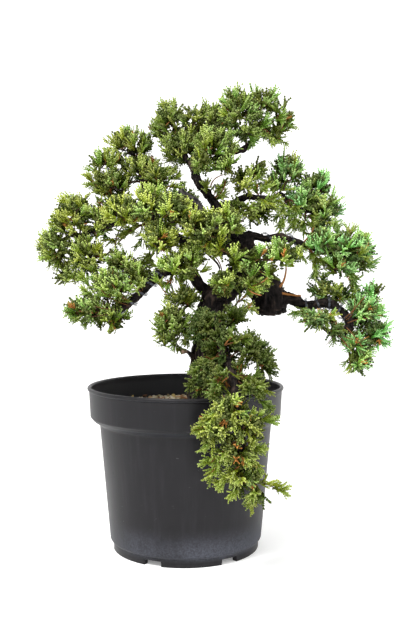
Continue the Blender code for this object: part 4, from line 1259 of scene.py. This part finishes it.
def grow_twigs(feet, spray_paths):
    """Twigs to every tuft's foot, the sprays' twigs and the bare ones, as one piece."""
    rng = np.random.default_rng(SEED + 5)
    order, begins, load = shortest_tree(feet)
    heap = Heap()

    def grow(path, thick, tip, tint):
        rows, quads = tube(path, thick, tip)
        heap.add(rows, quads, np.full(len(rows), tint))

    for index in order:
        begin, end = begins[index], feet[index]
        length = np.linalg.norm(end - begin)
        if length < 0.001:
            continue
        sag = rng.normal(size=3) * length * 0.10 + (0, 0, -length * 0.06)
        thick = 0.00030 * load[index] ** 0.42 + 0.00020
        tip = 0.00028 * max(load[index] - 1, 0.4) ** 0.42 + 0.00020
        tint = rng.uniform(0.35, 1.0) if load[index] < 4 else rng.uniform(0, 0.45)
        grow(bowed(begin, end, sag, TWIG_ROWS), thick, tip, tint)
    for points, thick, tip, tint in BARE_TWIGS:
        grow(curved(metres(points)), thick / 1000, tip / 1000, tint)
    for path in spray_paths:
        grow(path, 0.0011, 0.0005, rng.uniform(0.45, 1.0))
    points, faces, tints = heap.joined()
    make_piece("twigs", points, faces, tinted_material("twig_bark", TWIG_COLOURS, 0.9, 800.0, 0.0003),
               attributes={"tint": tints})


# ---- camera, light and floor

def build_camera():
    data = bpy.data.cameras.new("camera")
    data.lens, data.sensor_width = 50.0, 36.0
    camera = placed("camera", data)
    camera.location = (0.0296, -1.1483, 0.3668)
    camera.rotation_euler = (math.pi / 2 - 0.0478, 0.0, 0.0)
    bpy.context.scene.camera = camera


def area_light(name, place, target, size, power):
    """A round soft light that faces its target."""
    data = bpy.data.lights.new(name, "AREA")
    data.shape, data.size, data.energy = "DISK", size, power
    lamp = placed(name, data)
    lamp.location = place
    lamp.rotation_euler = (Vector(target) - Vector(place)).to_track_quat("-Z", "Y").to_euler()


def build_studio():
    """Pale even light, and a pale floor that curves up into the backdrop."""
    world = bpy.data.worlds.new("studio")
    bpy.context.scene.world = world
    world.use_nodes = True
    white = (1.0, 1.0, 1.0, 1.0)
    sky = world.node_tree.nodes["Background"].inputs
    sky["Color"].default_value, sky["Strength"].default_value = white, 0.80
    area_light("key", (-0.6, -1.1, 1.9), (0.02, 0.0, 0.35), 0.7, 48.0)
    area_light("fill", (1.3, -1.0, 1.0), (0.02, 0.0, 0.30), 1.2, 6.0)
    recipe = Recipe("floor")
    grain = recipe.noise(6.0, 3.0)
    colour = recipe.ramp(grain, [(0.3, (0.93, 0.93, 0.925)), (0.7, (0.95, 0.95, 0.945))])
    material = recipe.finish(colour, 0.9, recipe.bump(grain, 0.0005, 0.2), Emission_Color=white,
                             Emission_Strength=0.22)
    reach, bend, rise, columns = 2.6, 1.2, 4.0, 64
    section = [(r, 0.0) for r in (0.4, 0.9, 1.7)]
    section += arc(reach, bend, bend, -90, 0, 16) + [(reach + bend, rise)]
    turn = np.linspace(0, 2 * math.pi, columns, endpoint=False)
    points = [(0.0, 0.0, 0.0)] + [(r * math.cos(a), r * math.sin(a), z) for r, z in section for a in turn]
    mesh = bpy.data.meshes.new("floor")
    mesh.from_pydata(points, [], disc_faces(len(section), columns))
    mesh.shade_smooth()
    mesh.materials.append(material)
    placed("floor", mesh)
    bpy.context.scene.view_settings.view_transform = "Standard"


# ---- assembly

build_camera()
build_studio()
build_pot()
build_soil()
build_grit()
build_wood()
build_wires()
leaves = foliage_material("foliage", LEAF_WARM, LEAF_COOL)
tuft_feet = grow_pads(leaves, foliage_material("foliage_blue", LEAF_WARM, LEAF_BLUE))
grow_twigs(tuft_feet, grow_sprays(leaves))
